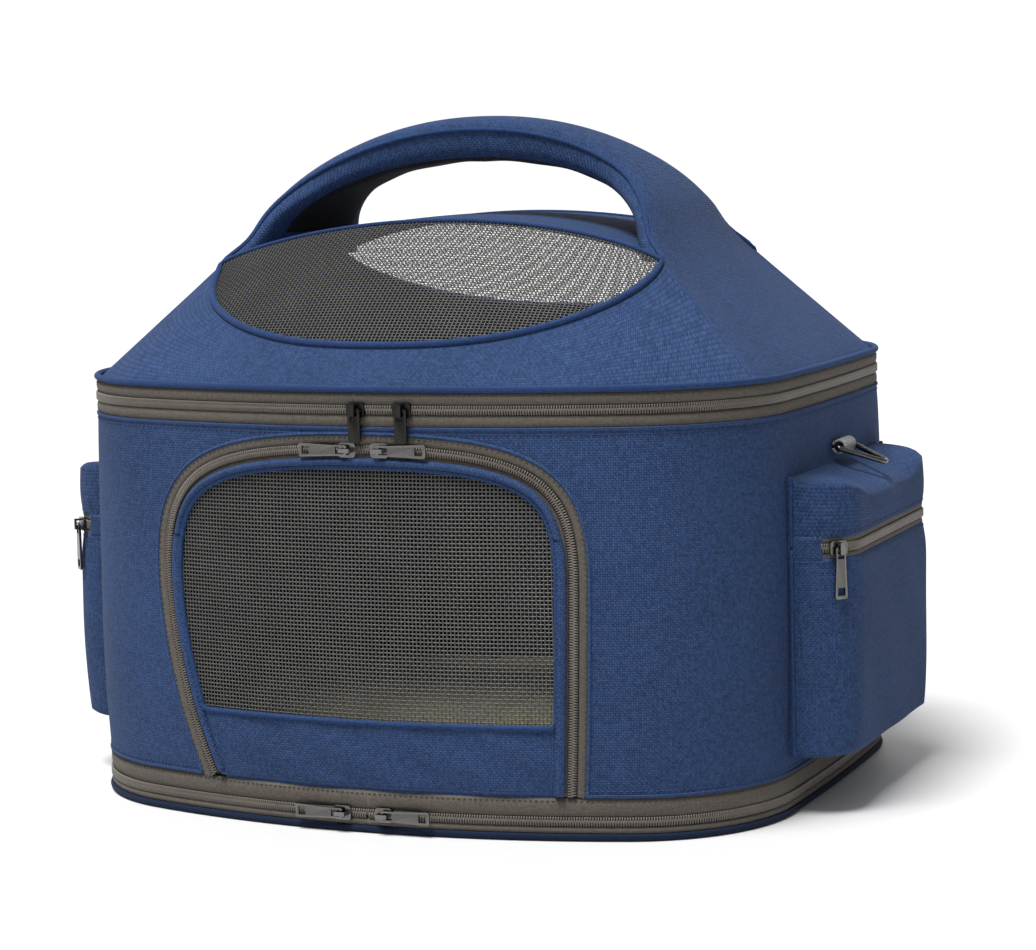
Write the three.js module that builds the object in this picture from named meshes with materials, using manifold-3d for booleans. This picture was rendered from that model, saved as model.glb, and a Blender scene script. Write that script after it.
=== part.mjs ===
// Soft-sided pet carrier bag. Millimetres, +Z up, front facing -Y, floor at z = 0.
import * as THREE from "three";
import { mergeVertices } from "three/addons/utils/BufferGeometryUtils.js";
import Module from "manifold-3d";

const wasm = await Module();
wasm.setup();

// ---- driving dimensions ----
const HALF_WIDTH = 220; // body, without the side pockets
const HALF_DEPTH = 200;
const FRONT_BOW = 47; // sagitta of the front and back
const SIDE_BOW = 6; // sagitta of the sides
const CORNER_R = 96;
const GAP = 0.3; // clearance between neighbouring pieces
const WALL_T = 4; // fabric and foam of the wall
const TAPE_T = 1.6;
const PIPING = 1.5; // how far a piping stands out of the wall

const BASE_ZIP_Z = 11;
const WALL_Z0 = 25;
const WALL_Z1 = 232.2;
const LID_ZIP_Z = 242.4;
const LID_Z = 252;

const DOOR_FOOT_Z = 25.3;
const DOOR_TOP_Z = 220;
const DOOR_LEFT = -131; // widest points of the door's zip
const DOOR_RIGHT = 124;
const DOOR_FOOT_LEFT = -103;
const DOOR_FOOT_RIGHT = 120;
const WINDOW_Z0 = 64; // foot of the door's mesh
const PAD_TOP_Z = 34; // the floor pad shows through the foot of the door's mesh
const ZIP_TAPE_W = 8; // one tape, from the coil's centre to the fabric
const DOOR_TAPE_W = 4; // the door's own tape, mostly under its bound edge

const ROOF_CORNER = new THREE.Vector3(143, -84, 319); // where front, gusset and handle meet
const ROOF_BOW_Y = 13;
const ROOF_RISE = 24.7;
const SEAM_AT = 0.665; // gusset seam, as a share of the quarter rim
const DOME_T = 3;
const DOME_BULGE = 6;
const LENS_LOW = 0.228; // foot of the lid's mesh, as a share of the slope
const LENS_CURVE = 2.5;

const HANDLE_HALF_WIDTH = 25;
const LEG_INNER_X = 118;

const POCKET_DEPTH = 34;
const POCKET_HALF_LENGTH = 95;
const POCKET_CORNER_R = 28;
const POCKET_Z0 = 34.5;
const POCKET_ZIP_Z = 156;
const POCKET_Z1 = 196;
const POCKET_SLOPE = 12; // fall of the hood's top towards its outer edge
const POCKET_T = 2;
const POCKET_X = HALF_WIDTH + 0.5;
const POCKET_PATCH = 17; // cloth over the zip's ends, out from the wall
const POCKET_SLIDER_DEG = -45; // on the front corner, from the outward direction

const RING_Z = 205;
const RING_WIDTH = 31;
const RING_REACH = 27;
const RING_DROOP_DEG = 20;
const WIRE_R = 1.6;
const WEBBING_W = 22;
const PULL_LENGTH = 30; // pulls of the door, base and pockets
const LID_PULL_LENGTH = 19.4; // ends above the lying pulls of the door

const LID_SLIDER_S = [1, 29]; // arc length from the front's centre
const DOOR_SLIDER_S = [-5, 15];
const BASE_SLIDER_S = [-15, 11];

// ---- materials ----
const LOOKS = {
  fabric: ["#27457c", 0.9, 0],
  piping: ["#2f5596", 0.8, 0],
  tape: ["#55504b", 0.85, 0],
  mesh: ["#33332f", 0.9, 0],
  lining: ["#3a3d42", 0.95, 0],
  board: ["#4a4a48", 0.9, 0],
  pad: ["#6a6a58", 0.95, 0],
  foam: ["#50545c", 1, 0],
  webbing: ["#9a9c9c", 0.8, 0],
  gunmetal: ["#2b2b2d", 0.35, 0.9],
};
const group = new THREE.Group();

function add(name, solid, look) {
  const made = solid.getMesh();
  const geometry = new THREE.BufferGeometry();
  geometry.setAttribute("position", new THREE.BufferAttribute(made.vertProperties, 3));
  geometry.setIndex(new THREE.BufferAttribute(made.triVerts, 1));
  geometry.computeVertexNormals();
  const [color, roughness, metalness] = LOOKS[look];
  const mesh = new THREE.Mesh(
    geometry,
    new THREE.MeshStandardMaterial({ color, roughness, metalness }),
  );
  mesh.name = name;
  group.add(mesh);
  return mesh;
}

// ---- solids ----
function toSolid(geometry) {
  geometry.deleteAttribute("normal");
  geometry.deleteAttribute("uv");
  const merged = mergeVertices(geometry, 1e-4);
  return new wasm.Manifold(
    new wasm.Mesh({
      numProp: 3,
      vertProperties: merged.attributes.position.array,
      triVerts: new Uint32Array(merged.index.array),
    }),
  );
}

function prism(points, z0, z1, hole) {
  const shape = new THREE.Shape(points);
  if (hole) shape.holes.push(new THREE.Path(hole));
  const depth = z1 - z0;
  const extruded = new THREE.ExtrudeGeometry(shape, { depth, bevelEnabled: false });
  return toSolid(extruded.translate(0, 0, z0));
}

// A prism of an outline drawn in the front view (x, z), from y0 back to y1.
function frontPrism(points, y0, y1) {
  const depth = y1 - y0;
  const shape = new THREE.Shape(points);
  const extruded = new THREE.ExtrudeGeometry(shape, { depth, bevelEnabled: false });
  return toSolid(extruded.rotateX(Math.PI / 2).translate(0, y1, 0));
}

function block(x0, x1, y0, y1, z0, z1) {
  const box = new THREE.BoxGeometry(x1 - x0, y1 - y0, z1 - z0);
  return toSolid(box.translate((x0 + x1) / 2, (y0 + y1) / 2, (z0 + z1) / 2));
}

function rod(from, to, radius) {
  const span = new THREE.Vector3().subVectors(to, from);
  const cylinder = new THREE.CylinderGeometry(radius, radius, span.length(), 8);
  const turn = new THREE.Quaternion().setFromUnitVectors(
    new THREE.Vector3(0, 1, 0),
    span.clone().normalize(),
  );
  const middle = from.clone().add(to).multiplyScalar(0.5);
  cylinder.applyQuaternion(turn).translate(middle.x, middle.y, middle.z);
  return toSolid(cylinder);
}

function ball(at, radius) {
  return toSolid(new THREE.SphereGeometry(radius, 8, 4).translate(at.x, at.y, at.z));
}

// Closed solid between two grids of points with the same rows and columns.
function sheet(outer, inner) {
  const rows = outer.length;
  const columns = outer[0].length;
  const positions = [];
  for (const grid of [outer, inner]) {
    for (const row of grid) for (const p of row) positions.push(p.x, p.y, p.z);
  }
  const at = (side, i, j) => side * rows * columns + i * columns + j;
  const index = [];
  const quad = (a, b, c, d) => index.push(a, b, c, a, c, d);
  for (let i = 0; i + 1 < rows; i++) {
    for (let j = 0; j + 1 < columns; j++) {
      quad(at(0, i, j), at(0, i, j + 1), at(0, i + 1, j + 1), at(0, i + 1, j));
      quad(at(1, i, j), at(1, i + 1, j), at(1, i + 1, j + 1), at(1, i, j + 1));
    }
    const last = columns - 1;
    quad(at(0, i, 0), at(0, i + 1, 0), at(1, i + 1, 0), at(1, i, 0));
    quad(at(0, i, last), at(1, i, last), at(1, i + 1, last), at(0, i + 1, last));
  }
  for (let j = 0; j + 1 < columns; j++) {
    const last = rows - 1;
    quad(at(0, 0, j), at(1, 0, j), at(1, 0, j + 1), at(0, 0, j + 1));
    quad(at(0, last, j), at(0, last, j + 1), at(1, last, j + 1), at(1, last, j));
  }
  const geometry = new THREE.BufferGeometry();
  geometry.setAttribute("position", new THREE.Float32BufferAttribute(positions, 3));
  geometry.setIndex(index);
  return toSolid(geometry);
}

// ---- plan outline: bowed front and sides joined by round corners ----
const cornerX = HALF_WIDTH - SIDE_BOW;
const cornerY = HALF_DEPTH - FRONT_BOW;
const FRONT_R = (cornerX ** 2 + FRONT_BOW ** 2) / (2 * FRONT_BOW);
const FRONT_Y = FRONT_R - HALF_DEPTH; // the front arc's centre is (0, FRONT_Y)
const SIDE_R = (cornerY ** 2 + SIDE_BOW ** 2) / (2 * SIDE_BOW);
const SIDE_X = HALF_WIDTH - SIDE_R;
const corner = cornerCentre();
const FRONT_END = Math.atan2(corner.y - FRONT_Y, corner.x);
const SIDE_START = Math.atan2(corner.y, corner.x - SIDE_X);

function cornerCentre() {
  const front = new THREE.Vector2(0, FRONT_Y);
  const side = new THREE.Vector2(SIDE_X, 0);
  const r1 = FRONT_R - CORNER_R;
  const r2 = SIDE_R - CORNER_R;
  const span = front.distanceTo(side);
  const along = (r1 ** 2 - r2 ** 2 + span ** 2) / (2 * span);
  const across = Math.sqrt(r1 ** 2 - along ** 2);
  const u = side.clone().sub(front).divideScalar(span);
  return new THREE.Vector2(
    front.x + u.x * along - u.y * across,
    front.y + u.y * along + u.x * across,
  );
}

// Point of the quarter outline from the front's centre (share 0) to the side's (share 1).
function quarter(share, offset) {
  const frontLength = (FRONT_END + Math.PI / 2) * FRONT_R;
  const cornerLength = (SIDE_START - FRONT_END) * CORNER_R;
  const sideLength = -SIDE_START * SIDE_R;
  const s = share * (frontLength + cornerLength + sideLength);
  if (s <= frontLength) {
    return arcPoint(0, FRONT_Y, FRONT_R - offset, s / FRONT_R - Math.PI / 2);
  }
  if (s <= frontLength + cornerLength) {
    const angle = FRONT_END + (s - frontLength) / CORNER_R;
    return arcPoint(corner.x, corner.y, CORNER_R - offset, angle);
  }
  const angle = SIDE_START + (s - frontLength - cornerLength) / SIDE_R;
  return arcPoint(SIDE_X, 0, SIDE_R - offset, angle);
}

function arcPoint(x, y, radius, angle) {
  return new THREE.Vector2(x + radius * Math.cos(angle), y + radius * Math.sin(angle));
}

// Whole outline, anticlockwise; offset is measured inwards.
function plan(offset) {
  const steps = [];
  for (let i = 0; i < 4; i++) steps.push((0.42 * i) / 4);
  for (let i = 0; i < 7; i++) steps.push(0.42 + (0.33 * i) / 7);
  steps.push(0.75, 0.87);
  const right = steps.map((share) => quarter(share, offset));
  const flip = (p, sx, sy) => new THREE.Vector2(sx * p.x, sy * p.y);
  const side = quarter(1, offset);
  const back = right.slice(1).reverse();
  const front = flip(right[0], 1, 1);
  return [
    front,
    ...right.slice(1),
    side,
    ...back.map((p) => flip(p, 1, -1)),
    flip(front, 1, -1),
    ...right.slice(1).map((p) => flip(p, -1, -1)),
    flip(side, -1, 1),
    ...back.map((p) => flip(p, -1, 1)),
  ];
}

function band(outside, inside, z0, z1) {
  return prism(plan(outside), z0, z1, plan(inside));
}

// ---- door outline, in the front view ----
function doorOutline() {
  const foot = -60;
  const path = new THREE.Path();
  path.moveTo(DOOR_FOOT_LEFT, foot);
  path.lineTo(DOOR_FOOT_LEFT, DOOR_FOOT_Z);
  path.quadraticCurveTo(DOOR_LEFT + 2, 84, DOOR_LEFT, 140);
  path.bezierCurveTo(DOOR_LEFT, 198, -112, DOOR_TOP_Z, 0, DOOR_TOP_Z);
  path.bezierCurveTo(100, DOOR_TOP_Z, DOOR_RIGHT, 206, DOOR_RIGHT, 150);
  path.quadraticCurveTo(DOOR_RIGHT - 1, 84, DOOR_FOOT_RIGHT, DOOR_FOOT_Z);
  path.lineTo(DOOR_FOOT_RIGHT, foot);
  return path.getPoints(7);
}

function inset(points, distance) {
  const count = points.length;
  return points.map((p, i) => {
    const before = points[(i + count - 1) % count];
    const after = points[(i + 1) % count];
    const u = p.clone().sub(before).normalize();
    const v = after.clone().sub(p).normalize();
    const normal = new THREE.Vector2(u.y + v.y, -u.x - v.x).normalize();
    const stretch = distance / (normal.x * u.y - normal.y * u.x);
    return p.clone().addScaledVector(normal, stretch);
  });
}

const door = doorOutline();

function doorPrism(distance, z0) {
  const whole = frontPrism(inset(door, distance), -HALF_DEPTH - 20, -HALF_DEPTH + 70);
  return whole.subtract(block(-200, 200, -300, 0, -90, z0));
}

// ---- base ----
const baseTray = prism(plan(PIPING + GAP), 0, 3.5).add(
  band(TAPE_T + GAP, WALL_T, 3, BASE_ZIP_Z - 0.2),
);
add("base_panel", baseTray, "fabric");
add("base_piping", band(-PIPING, PIPING, 0.5, 4), "piping");
add("base_tape", band(0, TAPE_T, 4 + GAP, BASE_ZIP_Z - 0.2), "tape");
add("base_board", prism(plan(6.5), 3.8, 6.3), "board");
add("floor_pad", prism(plan(8), 6.6, PAD_TOP_Z), "pad");

// ---- body ----
const opening = doorPrism(-ZIP_TAPE_W - 0.2, DOOR_FOOT_Z);
const wall = band(0, WALL_T, WALL_Z0, WALL_Z1)
  .add(band(TAPE_T + GAP, WALL_T, BASE_ZIP_Z + 0.2, WALL_Z0 + 1))
  .add(band(TAPE_T + GAP, WALL_T, WALL_Z1 - 1, LID_ZIP_Z - 0.2));
add("outer_wall", wall.subtract(opening), "fabric");
const lining = band(WALL_T + GAP, WALL_T + 1.6, WALL_Z0, WALL_Z1);
add("inner_lining", lining.subtract(opening), "lining");
add("body_base_tape", band(0, TAPE_T, BASE_ZIP_Z + 0.2, WALL_Z0 - GAP), "tape");
add("body_lid_tape", band(0, TAPE_T, WALL_Z1 + GAP, LID_ZIP_Z - 0.2), "tape");
const skin = band(0, TAPE_T, DOOR_FOOT_Z, WALL_Z1);
const frameTape = skin
  .intersect(doorPrism(0.1 - ZIP_TAPE_W, DOOR_FOOT_Z))
  .subtract(doorPrism(-0.2, 0));
add("door_frame_tape", frameTape, "tape");

// ---- door ----
const DOOR_Z0 = DOOR_FOOT_Z + 1;
const doorTape = skin
  .intersect(doorPrism(0.2, DOOR_Z0))
  .subtract(doorPrism(DOOR_TAPE_W, 0));
add("door_tape", doorTape, "tape");
const doorPanel = band(0, DOME_T, DOOR_FOOT_Z, WALL_Z1)
  .intersect(doorPrism(DOOR_TAPE_W + GAP, DOOR_Z0))
  .subtract(doorPrism(DOOR_TAPE_W + 3.2, WINDOW_Z0 - 3.3));
add("door_panel", doorPanel, "fabric");
const doorPiping = band(-PIPING, PIPING, DOOR_FOOT_Z, WALL_Z1)
  .intersect(doorPrism(DOOR_TAPE_W + 3.5, WINDOW_Z0 - 3))
  .subtract(doorPrism(DOOR_TAPE_W + 6.2, WINDOW_Z0));
add("door_piping", doorPiping, "piping");
const doorMesh = band(0.5, 1.8, DOOR_FOOT_Z, WALL_Z1).intersect(
  doorPrism(DOOR_TAPE_W + 6.5, WINDOW_Z0 + GAP),
);
add("door_mesh", doorMesh, "mesh");

// ---- lid: front and back slopes, gussets, roof ----
const lerp = (a, b, t) => a.clone().lerp(b, t);

function rimPoint(share, depth) {
  const p = quarter(share, PIPING + GAP + depth);
  return new THREE.Vector3(p.x, p.y, LID_Z + GAP);
}

function roofEdge(u, depth) {
  return new THREE.Vector3(
    (ROOF_CORNER.x - depth) * u,
    ROOF_CORNER.y + ROOF_BOW_Y * (1 - u * u) + depth,
    ROOF_CORNER.z + ROOF_RISE * (1 - u * u) ** 0.8 - 0.7 * depth,
  );
}

// Front slope: u runs from the left seam (-1) to the right seam (1), v from rim to roof.
function slopePoint(u, v, depth) {
  const rim = rimPoint(SEAM_AT * Math.abs(u), depth);
  rim.x *= Math.sign(u);
  const p = lerp(rim, roofEdge(u, depth), v);
  const swell = DOME_BULGE * (1 - u * u) * Math.sin(Math.PI * v);
  return p.add(new THREE.Vector3(0, -0.6 * swell, 0.8 * swell));
}

const lensFoot = (u) => LENS_LOW + (1 - LENS_LOW) * Math.abs(u) ** LENS_CURVE;

function slopeSheet(columns, rows, reach, from, to, outside, inside) {
  const grid = (depth) => {
    const lines = [];
    for (let i = 0; i <= rows; i++) {
      const line = [];
      for (let j = 0; j <= columns; j++) {
        const u = reach * ((2 * j) / columns - 1);
        line.push(slopePoint(u, from(u) + ((to(u) - from(u)) * i) / rows, depth));
      }
      lines.push(line);
    }
    return lines;
  };
  return sheet(grid(outside), grid(inside));
}

function gussetSheet(columns, rows) {
  const grid = (depth) => {
    const lines = [];
    for (let i = 0; i <= rows; i++) {
      const line = [];
      for (let j = 0; j <= columns; j++) {
        const w = 0.997 * ((2 * j) / columns - 1);
        const rim = rimPoint(1 - (1 - SEAM_AT) * Math.abs(w), depth);
        rim.y *= -Math.sign(w);
        const top = new THREE.Vector3(
          ROOF_CORNER.x - depth,
          (-ROOF_CORNER.y - depth) * w,
          ROOF_CORNER.z - 0.7 * depth,
        );
        line.push(lerp(rim, top, (0.99 * i) / rows));
      }
      lines.push(line);
    }
    return lines;
  };
  return sheet(grid(0), grid(DOME_T));
}

const edge = 0.02;
const lensTip = 0.94;
const slope = slopeSheet(20, 3, 0.997, () => 0, (u) => lensFoot(u) - edge, 0, DOME_T);
const window = slopeSheet(18, 3, lensTip, (u) => lensFoot(u) + edge, () => 0.97, 0.5, 1.8);
class LensEdge extends THREE.Curve {
  getPoint(t) {
    const u = lensTip * (2 * t - 1);
    return slopePoint(u, lensFoot(u), 0.5);
  }
}

function lensCord(radius) {
  const section = new THREE.Shape().absarc(0, 0, radius, 0, 2 * Math.PI);
  const options = { steps: 20, curveSegments: 3, extrudePath: new LensEdge() };
  return toSolid(new THREE.ExtrudeGeometry(section, options));
}

const lensPiping = lensCord(PIPING);
const clearance = lensCord(PIPING + GAP);
const frontSlope = slope.subtract(clearance);
const frontMesh = window.subtract(clearance);
add("lid_front_panel", frontSlope, "fabric");
add("lid_back_panel", frontSlope, "fabric").rotation.z = Math.PI;
add("lid_front_mesh", frontMesh, "mesh");
add("lid_back_mesh", frontMesh, "mesh").rotation.z = Math.PI;
add("front_window_piping", lensPiping, "piping");
add("back_window_piping", lensPiping, "piping").rotation.z = Math.PI;
const gusset = gussetSheet(10, 3);
add("right_gusset", gusset, "fabric");
add("left_gusset", gusset, "fabric").rotation.z = Math.PI;
add("lid_piping", band(-PIPING, PIPING, LID_Z + GAP, LID_Z + 4), "piping");
const lidTape = band(0, TAPE_T, LID_ZIP_Z + 0.2, LID_Z);
add("lid_tape", lidTape, "tape");

function roofSheet() {
  const reach = (LEG_INNER_X - 0.5) / ROOF_CORNER.x;
  const grid = (depth) => {
    const lines = [];
    for (let i = 0; i <= 2; i++) {
      const line = [];
      for (let j = 0; j <= 16; j++) {
        const u = reach * (j / 8 - 1);
        const p = roofEdge(u, 0);
        const y = (p.y + 3.5) * (1 - i);
        line.push(new THREE.Vector3(p.x, y, p.z - depth));
      }
      lines.push(line);
    }
    return lines;
  };
  return sheet(grid(0), grid(DOME_T));
}

// ---- handle: padded arch, wide where it runs into the gussets ----
const handleOuter = new THREE.CatmullRomCurve3([
  new THREE.Vector3(ROOF_CORNER.x, 82, ROOF_CORNER.z),
  new THREE.Vector3(129, 60, 352),
  new THREE.Vector3(108, 40, 374.5),
  new THREE.Vector3(77, 30, 391),
  new THREE.Vector3(40, 26, 401.5),
  new THREE.Vector3(0, HANDLE_HALF_WIDTH, 405),
]);
const handleInner = new THREE.CatmullRomCurve3([
  new THREE.Vector3(LEG_INNER_X, 0, ROOF_CORNER.z),
  new THREE.Vector3(112, 0, 342),
  new THREE.Vector3(94, 0, 358),
  new THREE.Vector3(67, 0, 369),
  new THREE.Vector3(35, 0, 375.5),
  new THREE.Vector3(0, 0, 377.5),
]);

function handleLoft(thickness, drop) {
  const stations = 10;
  const around = 12;
  const rings = [];
  for (let i = -stations; i <= stations; i++) {
    const t = 1 - Math.abs(i) / stations;
    const outer = handleOuter.getPoint(t);
    const inner = handleInner.getPoint(t);
    const ring = [];
    for (let k = 0; k < around; k++) {
      const angle = (2 * Math.PI * (k + 0.5)) / around;
      const c = Math.sign(Math.cos(angle)) * Math.abs(Math.cos(angle)) ** 0.6;
      const s = Math.sign(Math.sin(angle)) * Math.abs(Math.sin(angle)) ** 0.6;
      const across = (outer.y - thickness) * c;
      const half = new THREE.Vector2(outer.x - inner.x, outer.z - inner.z).multiplyScalar(0.5);
      half.setLength(half.length() - thickness);
      const x = (outer.x + inner.x) / 2 + half.x * s;
      const z = (outer.z + inner.z) / 2 + half.y * s + GAP;
      ring.push(new THREE.Vector3(Math.sign(i) * x, across, z));
    }
    rings.push(ring);
  }
  const lowered = (ring) => ring.map((p) => new THREE.Vector3(p.x, p.y, p.z - drop));
  const ends = drop ? [lowered(rings[0]), lowered(rings[rings.length - 1])] : [];
  return loft([...ends.slice(0, 1), ...rings, ...ends.slice(1)]);
}

function loft(rings) {
  const around = rings[0].length;
  const positions = [];
  for (const ring of rings) for (const p of ring) positions.push(p.x, p.y, p.z);
  const index = [];
  const last = (rings.length - 1) * around;
  for (let i = 0; i + 1 < rings.length; i++) {
    for (let k = 0; k < around; k++) {
      const a = i * around + k;
      const b = i * around + ((k + 1) % around);
      index.push(a, b + around, a + around, a, b, b + around);
    }
  }
  for (let k = 1; k + 1 < around; k++) {
    index.push(0, k + 1, k);
    index.push(last, last + k, last + k + 1);
  }
  const geometry = new THREE.BufferGeometry();
  geometry.setAttribute("position", new THREE.Float32BufferAttribute(positions, 3));
  geometry.setIndex(index);
  return toSolid(geometry);
}

add("handle_cover", handleLoft(0, 0).subtract(handleLoft(DOME_T, 20)), "fabric");
add("handle_core", handleLoft(DOME_T + GAP, 0), "foam");
add("roof_panel", roofSheet().subtract(handleLoft(-GAP, 2)), "fabric");

// ---- side pockets, built on the right and mirrored ----
function pocketPlan(thickness) {
  const x0 = POCKET_X + thickness;
  const x1 = POCKET_X + POCKET_DEPTH - thickness;
  const y = POCKET_HALF_LENGTH - thickness;
  const r = POCKET_CORNER_R - thickness;
  const shape = new THREE.Path();
  shape.moveTo(x0, -y);
  shape.lineTo(x1 - r, -y);
  shape.absarc(x1 - r, r - y, r, -Math.PI / 2, 0);
  shape.absarc(x1 - r, y - r, r, 0, Math.PI / 2);
  shape.lineTo(x0, y);
  return shape.getPoints(5);
}

const pocketCorner = new THREE.Vector2(
  POCKET_X + POCKET_DEPTH - POCKET_CORNER_R,
  POCKET_CORNER_R - POCKET_HALF_LENGTH,
);
const tapeLow = POCKET_ZIP_Z - 6;
const tapeHigh = POCKET_ZIP_Z + 6;

function pocketShell(z0, z1, floor, roof) {
  const hollow = prism(pocketPlan(POCKET_T), z0 + floor, z1 - roof);
  return prism(pocketPlan(0), z0, z1).subtract(hollow);
}

function pocketTape(z0, z1) {
  const ring = prism(pocketPlan(0), z0, z1).subtract(prism(pocketPlan(1), z0 - 1, z1 + 1));
  return ring.subtract(block(POCKET_X - 1, POCKET_X + POCKET_PATCH, -200, 200, z0 - 1, z1 + 1));
}

const tapeRoom = pocketTapeRoom();
function pocketTapeRoom() {
  const inside = prism(pocketPlan(1 + GAP), tapeLow - GAP, tapeHigh + GAP);
  const outside = prism(pocketPlan(-1), tapeLow - GAP, tapeHigh + GAP);
  const patchX = POCKET_X + POCKET_PATCH - 0.5;
  const backing = block(POCKET_X - 2, patchX, -200, 200, tapeLow - 1, tapeHigh + 1);
  return outside.subtract(inside).subtract(backing);
}

function hoodSolid() {
  const slant = (lower) => {
    const x0 = POCKET_X - 5;
    const x1 = POCKET_X + POCKET_DEPTH + 5;
    const fall = POCKET_SLOPE / POCKET_DEPTH;
    const top = [
      new THREE.Vector2(x0, POCKET_Z1 + 5 * fall - lower),
      new THREE.Vector2(x1, POCKET_Z1 - POCKET_SLOPE - 5 * fall - lower),
      new THREE.Vector2(x1, POCKET_Z1 + 60),
      new THREE.Vector2(x0, POCKET_Z1 + 60),
    ];
    return frontPrism(top, -150, 150);
  };
  const low = POCKET_ZIP_Z + 0.2;
  const outer = prism(pocketPlan(0), low, POCKET_Z1 + 1).subtract(slant(0));
  const hollow = prism(pocketPlan(POCKET_T), low - 1, POCKET_Z1 + 1).subtract(slant(POCKET_T));
  return outer.subtract(hollow).subtract(tapeRoom);
}

const pocketBox = pocketShell(POCKET_Z0, POCKET_ZIP_Z - 0.2, POCKET_T, -1).subtract(tapeRoom);
const hood = hoodSolid();
const lowTape = pocketTape(tapeLow, POCKET_ZIP_Z - 0.2);
const highTape = pocketTape(POCKET_ZIP_Z + 0.2, tapeHigh);

// ---- ring tab and triangle ring ----
const barAt = new THREE.Vector3(POCKET_X + 5, 0, RING_Z);

function ringTab() {
  const loop = new THREE.Shape().absarc(barAt.x, RING_Z, 4.6, 0, 2 * Math.PI);
  loop.holes.push(new THREE.Path().absarc(barAt.x, RING_Z, 2.8, 0, 2 * Math.PI, true));
  const geometry = new THREE.ExtrudeGeometry(loop, {
    depth: WEBBING_W,
    bevelEnabled: false,
    curveSegments: 10,
  });
  const tube = toSolid(geometry.rotateX(Math.PI / 2).translate(0, WEBBING_W / 2, 0));
  const patch = block(POCKET_X, POCKET_X + 1.2, -WEBBING_W / 2, WEBBING_W / 2, 198, 212);
  return tube.add(patch);
}

function triangleRing() {
  const droop = THREE.MathUtils.degToRad(RING_DROOP_DEG);
  const apex = barAt.clone();
  apex.x += RING_REACH * Math.cos(droop);
  apex.z -= RING_REACH * Math.sin(droop);
  const near = barAt.clone().setY(-RING_WIDTH / 2);
  const far = barAt.clone().setY(RING_WIDTH / 2);
  const tipNear = apex.clone().setY(-2.5);
  const tipFar = apex.clone().setY(2.5);
  const corners = [near, tipNear, tipFar, far];
  let wire = ball(near, WIRE_R);
  corners.forEach((p, i) => {
    const next = corners[(i + 1) % corners.length];
    wire = wire.add(rod(p, next, WIRE_R)).add(ball(next, WIRE_R));
  });
  return wire;
}

// ---- zip slider and pull, built at the origin facing -Y ----
const PLATE_T = 1.8;
const EYE_Y = -0.4 - PLATE_T - 1.7; // axis of the pull's eye

function roundedPlate(width, height, radius, y0, y1) {
  const x = width / 2 - radius;
  const z = height / 2 - radius;
  const shape = new THREE.Path();
  shape.absarc(x, -z, radius, -Math.PI / 2, 0);
  shape.absarc(x, z, radius, 0, Math.PI / 2);
  shape.absarc(-x, z, radius, Math.PI / 2, Math.PI);
  shape.absarc(-x, -z, radius, Math.PI, 1.5 * Math.PI);
  return frontPrism(shape.getPoints(3), y0, y1);
}

// The arch over the plate lies across the zip, or lengthwise along the pull's swing.
function slider(lengthwise) {
  const plate = roundedPlate(11, 8.4, 2.2, -0.4 - PLATE_T, -0.4);
  const front = -0.4 - PLATE_T;
  const bar = (half, reach, rise, foot) =>
    lengthwise
      ? block(-reach, reach, front - rise, front + foot, -half, half)
      : block(-half, half, front - rise, front + foot, -reach, reach);
  return plate.add(bar(1.2, 3.4, 4.4, 0.2).subtract(bar(2, 2.2, 3.2, -0.1)));
}

// Hanging pull: half widths at its eye and at its end.
function pull(length, eyeHalf, endHalf) {
  const right = [
    new THREE.Vector2(eyeHalf, -6.5),
    new THREE.Vector2(eyeHalf, 0.2),
    new THREE.Vector2(eyeHalf - 0.8, 1),
  ];
  const foot = [
    new THREE.Vector2(endHalf - 0.9, 1 - length),
    new THREE.Vector2(endHalf, 2 - length),
  ];
  const half = [...foot, ...right];
  const mirrored = half.map((p) => new THREE.Vector2(-p.x, p.y)).reverse();
  const eye = block(-2, 2, -20, 20, -6, -0.8);
  return frontPrism([...half, ...mirrored], EYE_Y - 0.75, EYE_Y + 0.75).subtract(eye);
}

const plainPull = pull(LID_PULL_LENGTH, 3.7, 3.7);
const slot = block(-2.3, 2.3, -20, 20, 3 - PULL_LENGTH, 7.5 - PULL_LENGTH);
const slottedPull = pull(PULL_LENGTH, 3, 3.9).subtract(slot);

// Puts a slider or pull on the front arc at arc length s and height z, turned by lean about Y.
function onFront(mesh, s, z, lean) {
  const angle = s / FRONT_R;
  mesh.position.set(FRONT_R * Math.sin(angle), FRONT_Y - FRONT_R * Math.cos(angle), z);
  mesh.rotation.set(0, lean, angle, "ZYX");
}

const sides = ["left", "right"];
sides.forEach((side, i) => {
  const away = i ? -Math.PI / 2 : Math.PI / 2; // which way a lying pull points
  const zips = [
    ["lid", LID_SLIDER_S[i], LID_ZIP_Z, false, plainPull, 0],
    ["door", DOOR_SLIDER_S[i], DOOR_TOP_Z - GAP, true, slottedPull, away],
    ["base", BASE_SLIDER_S[i], BASE_ZIP_Z, true, slottedPull, away],
  ];
  for (const [zip, s, z, lengthwise, hanging, lean] of zips) {
    onFront(add(`${zip}_slider_${side}`, slider(lengthwise), "gunmetal"), s, z, 0);
    onFront(add(`${zip}_pull_${side}`, hanging, "gunmetal"), s, z, lean);
  }
});

function onPocketCorner(mesh) {
  const angle = THREE.MathUtils.degToRad(POCKET_SLIDER_DEG);
  mesh.position.set(
    pocketCorner.x + POCKET_CORNER_R * Math.cos(angle),
    pocketCorner.y + POCKET_CORNER_R * Math.sin(angle),
    POCKET_ZIP_Z,
  );
  mesh.rotation.z = Math.PI / 2 + angle;
}

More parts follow.
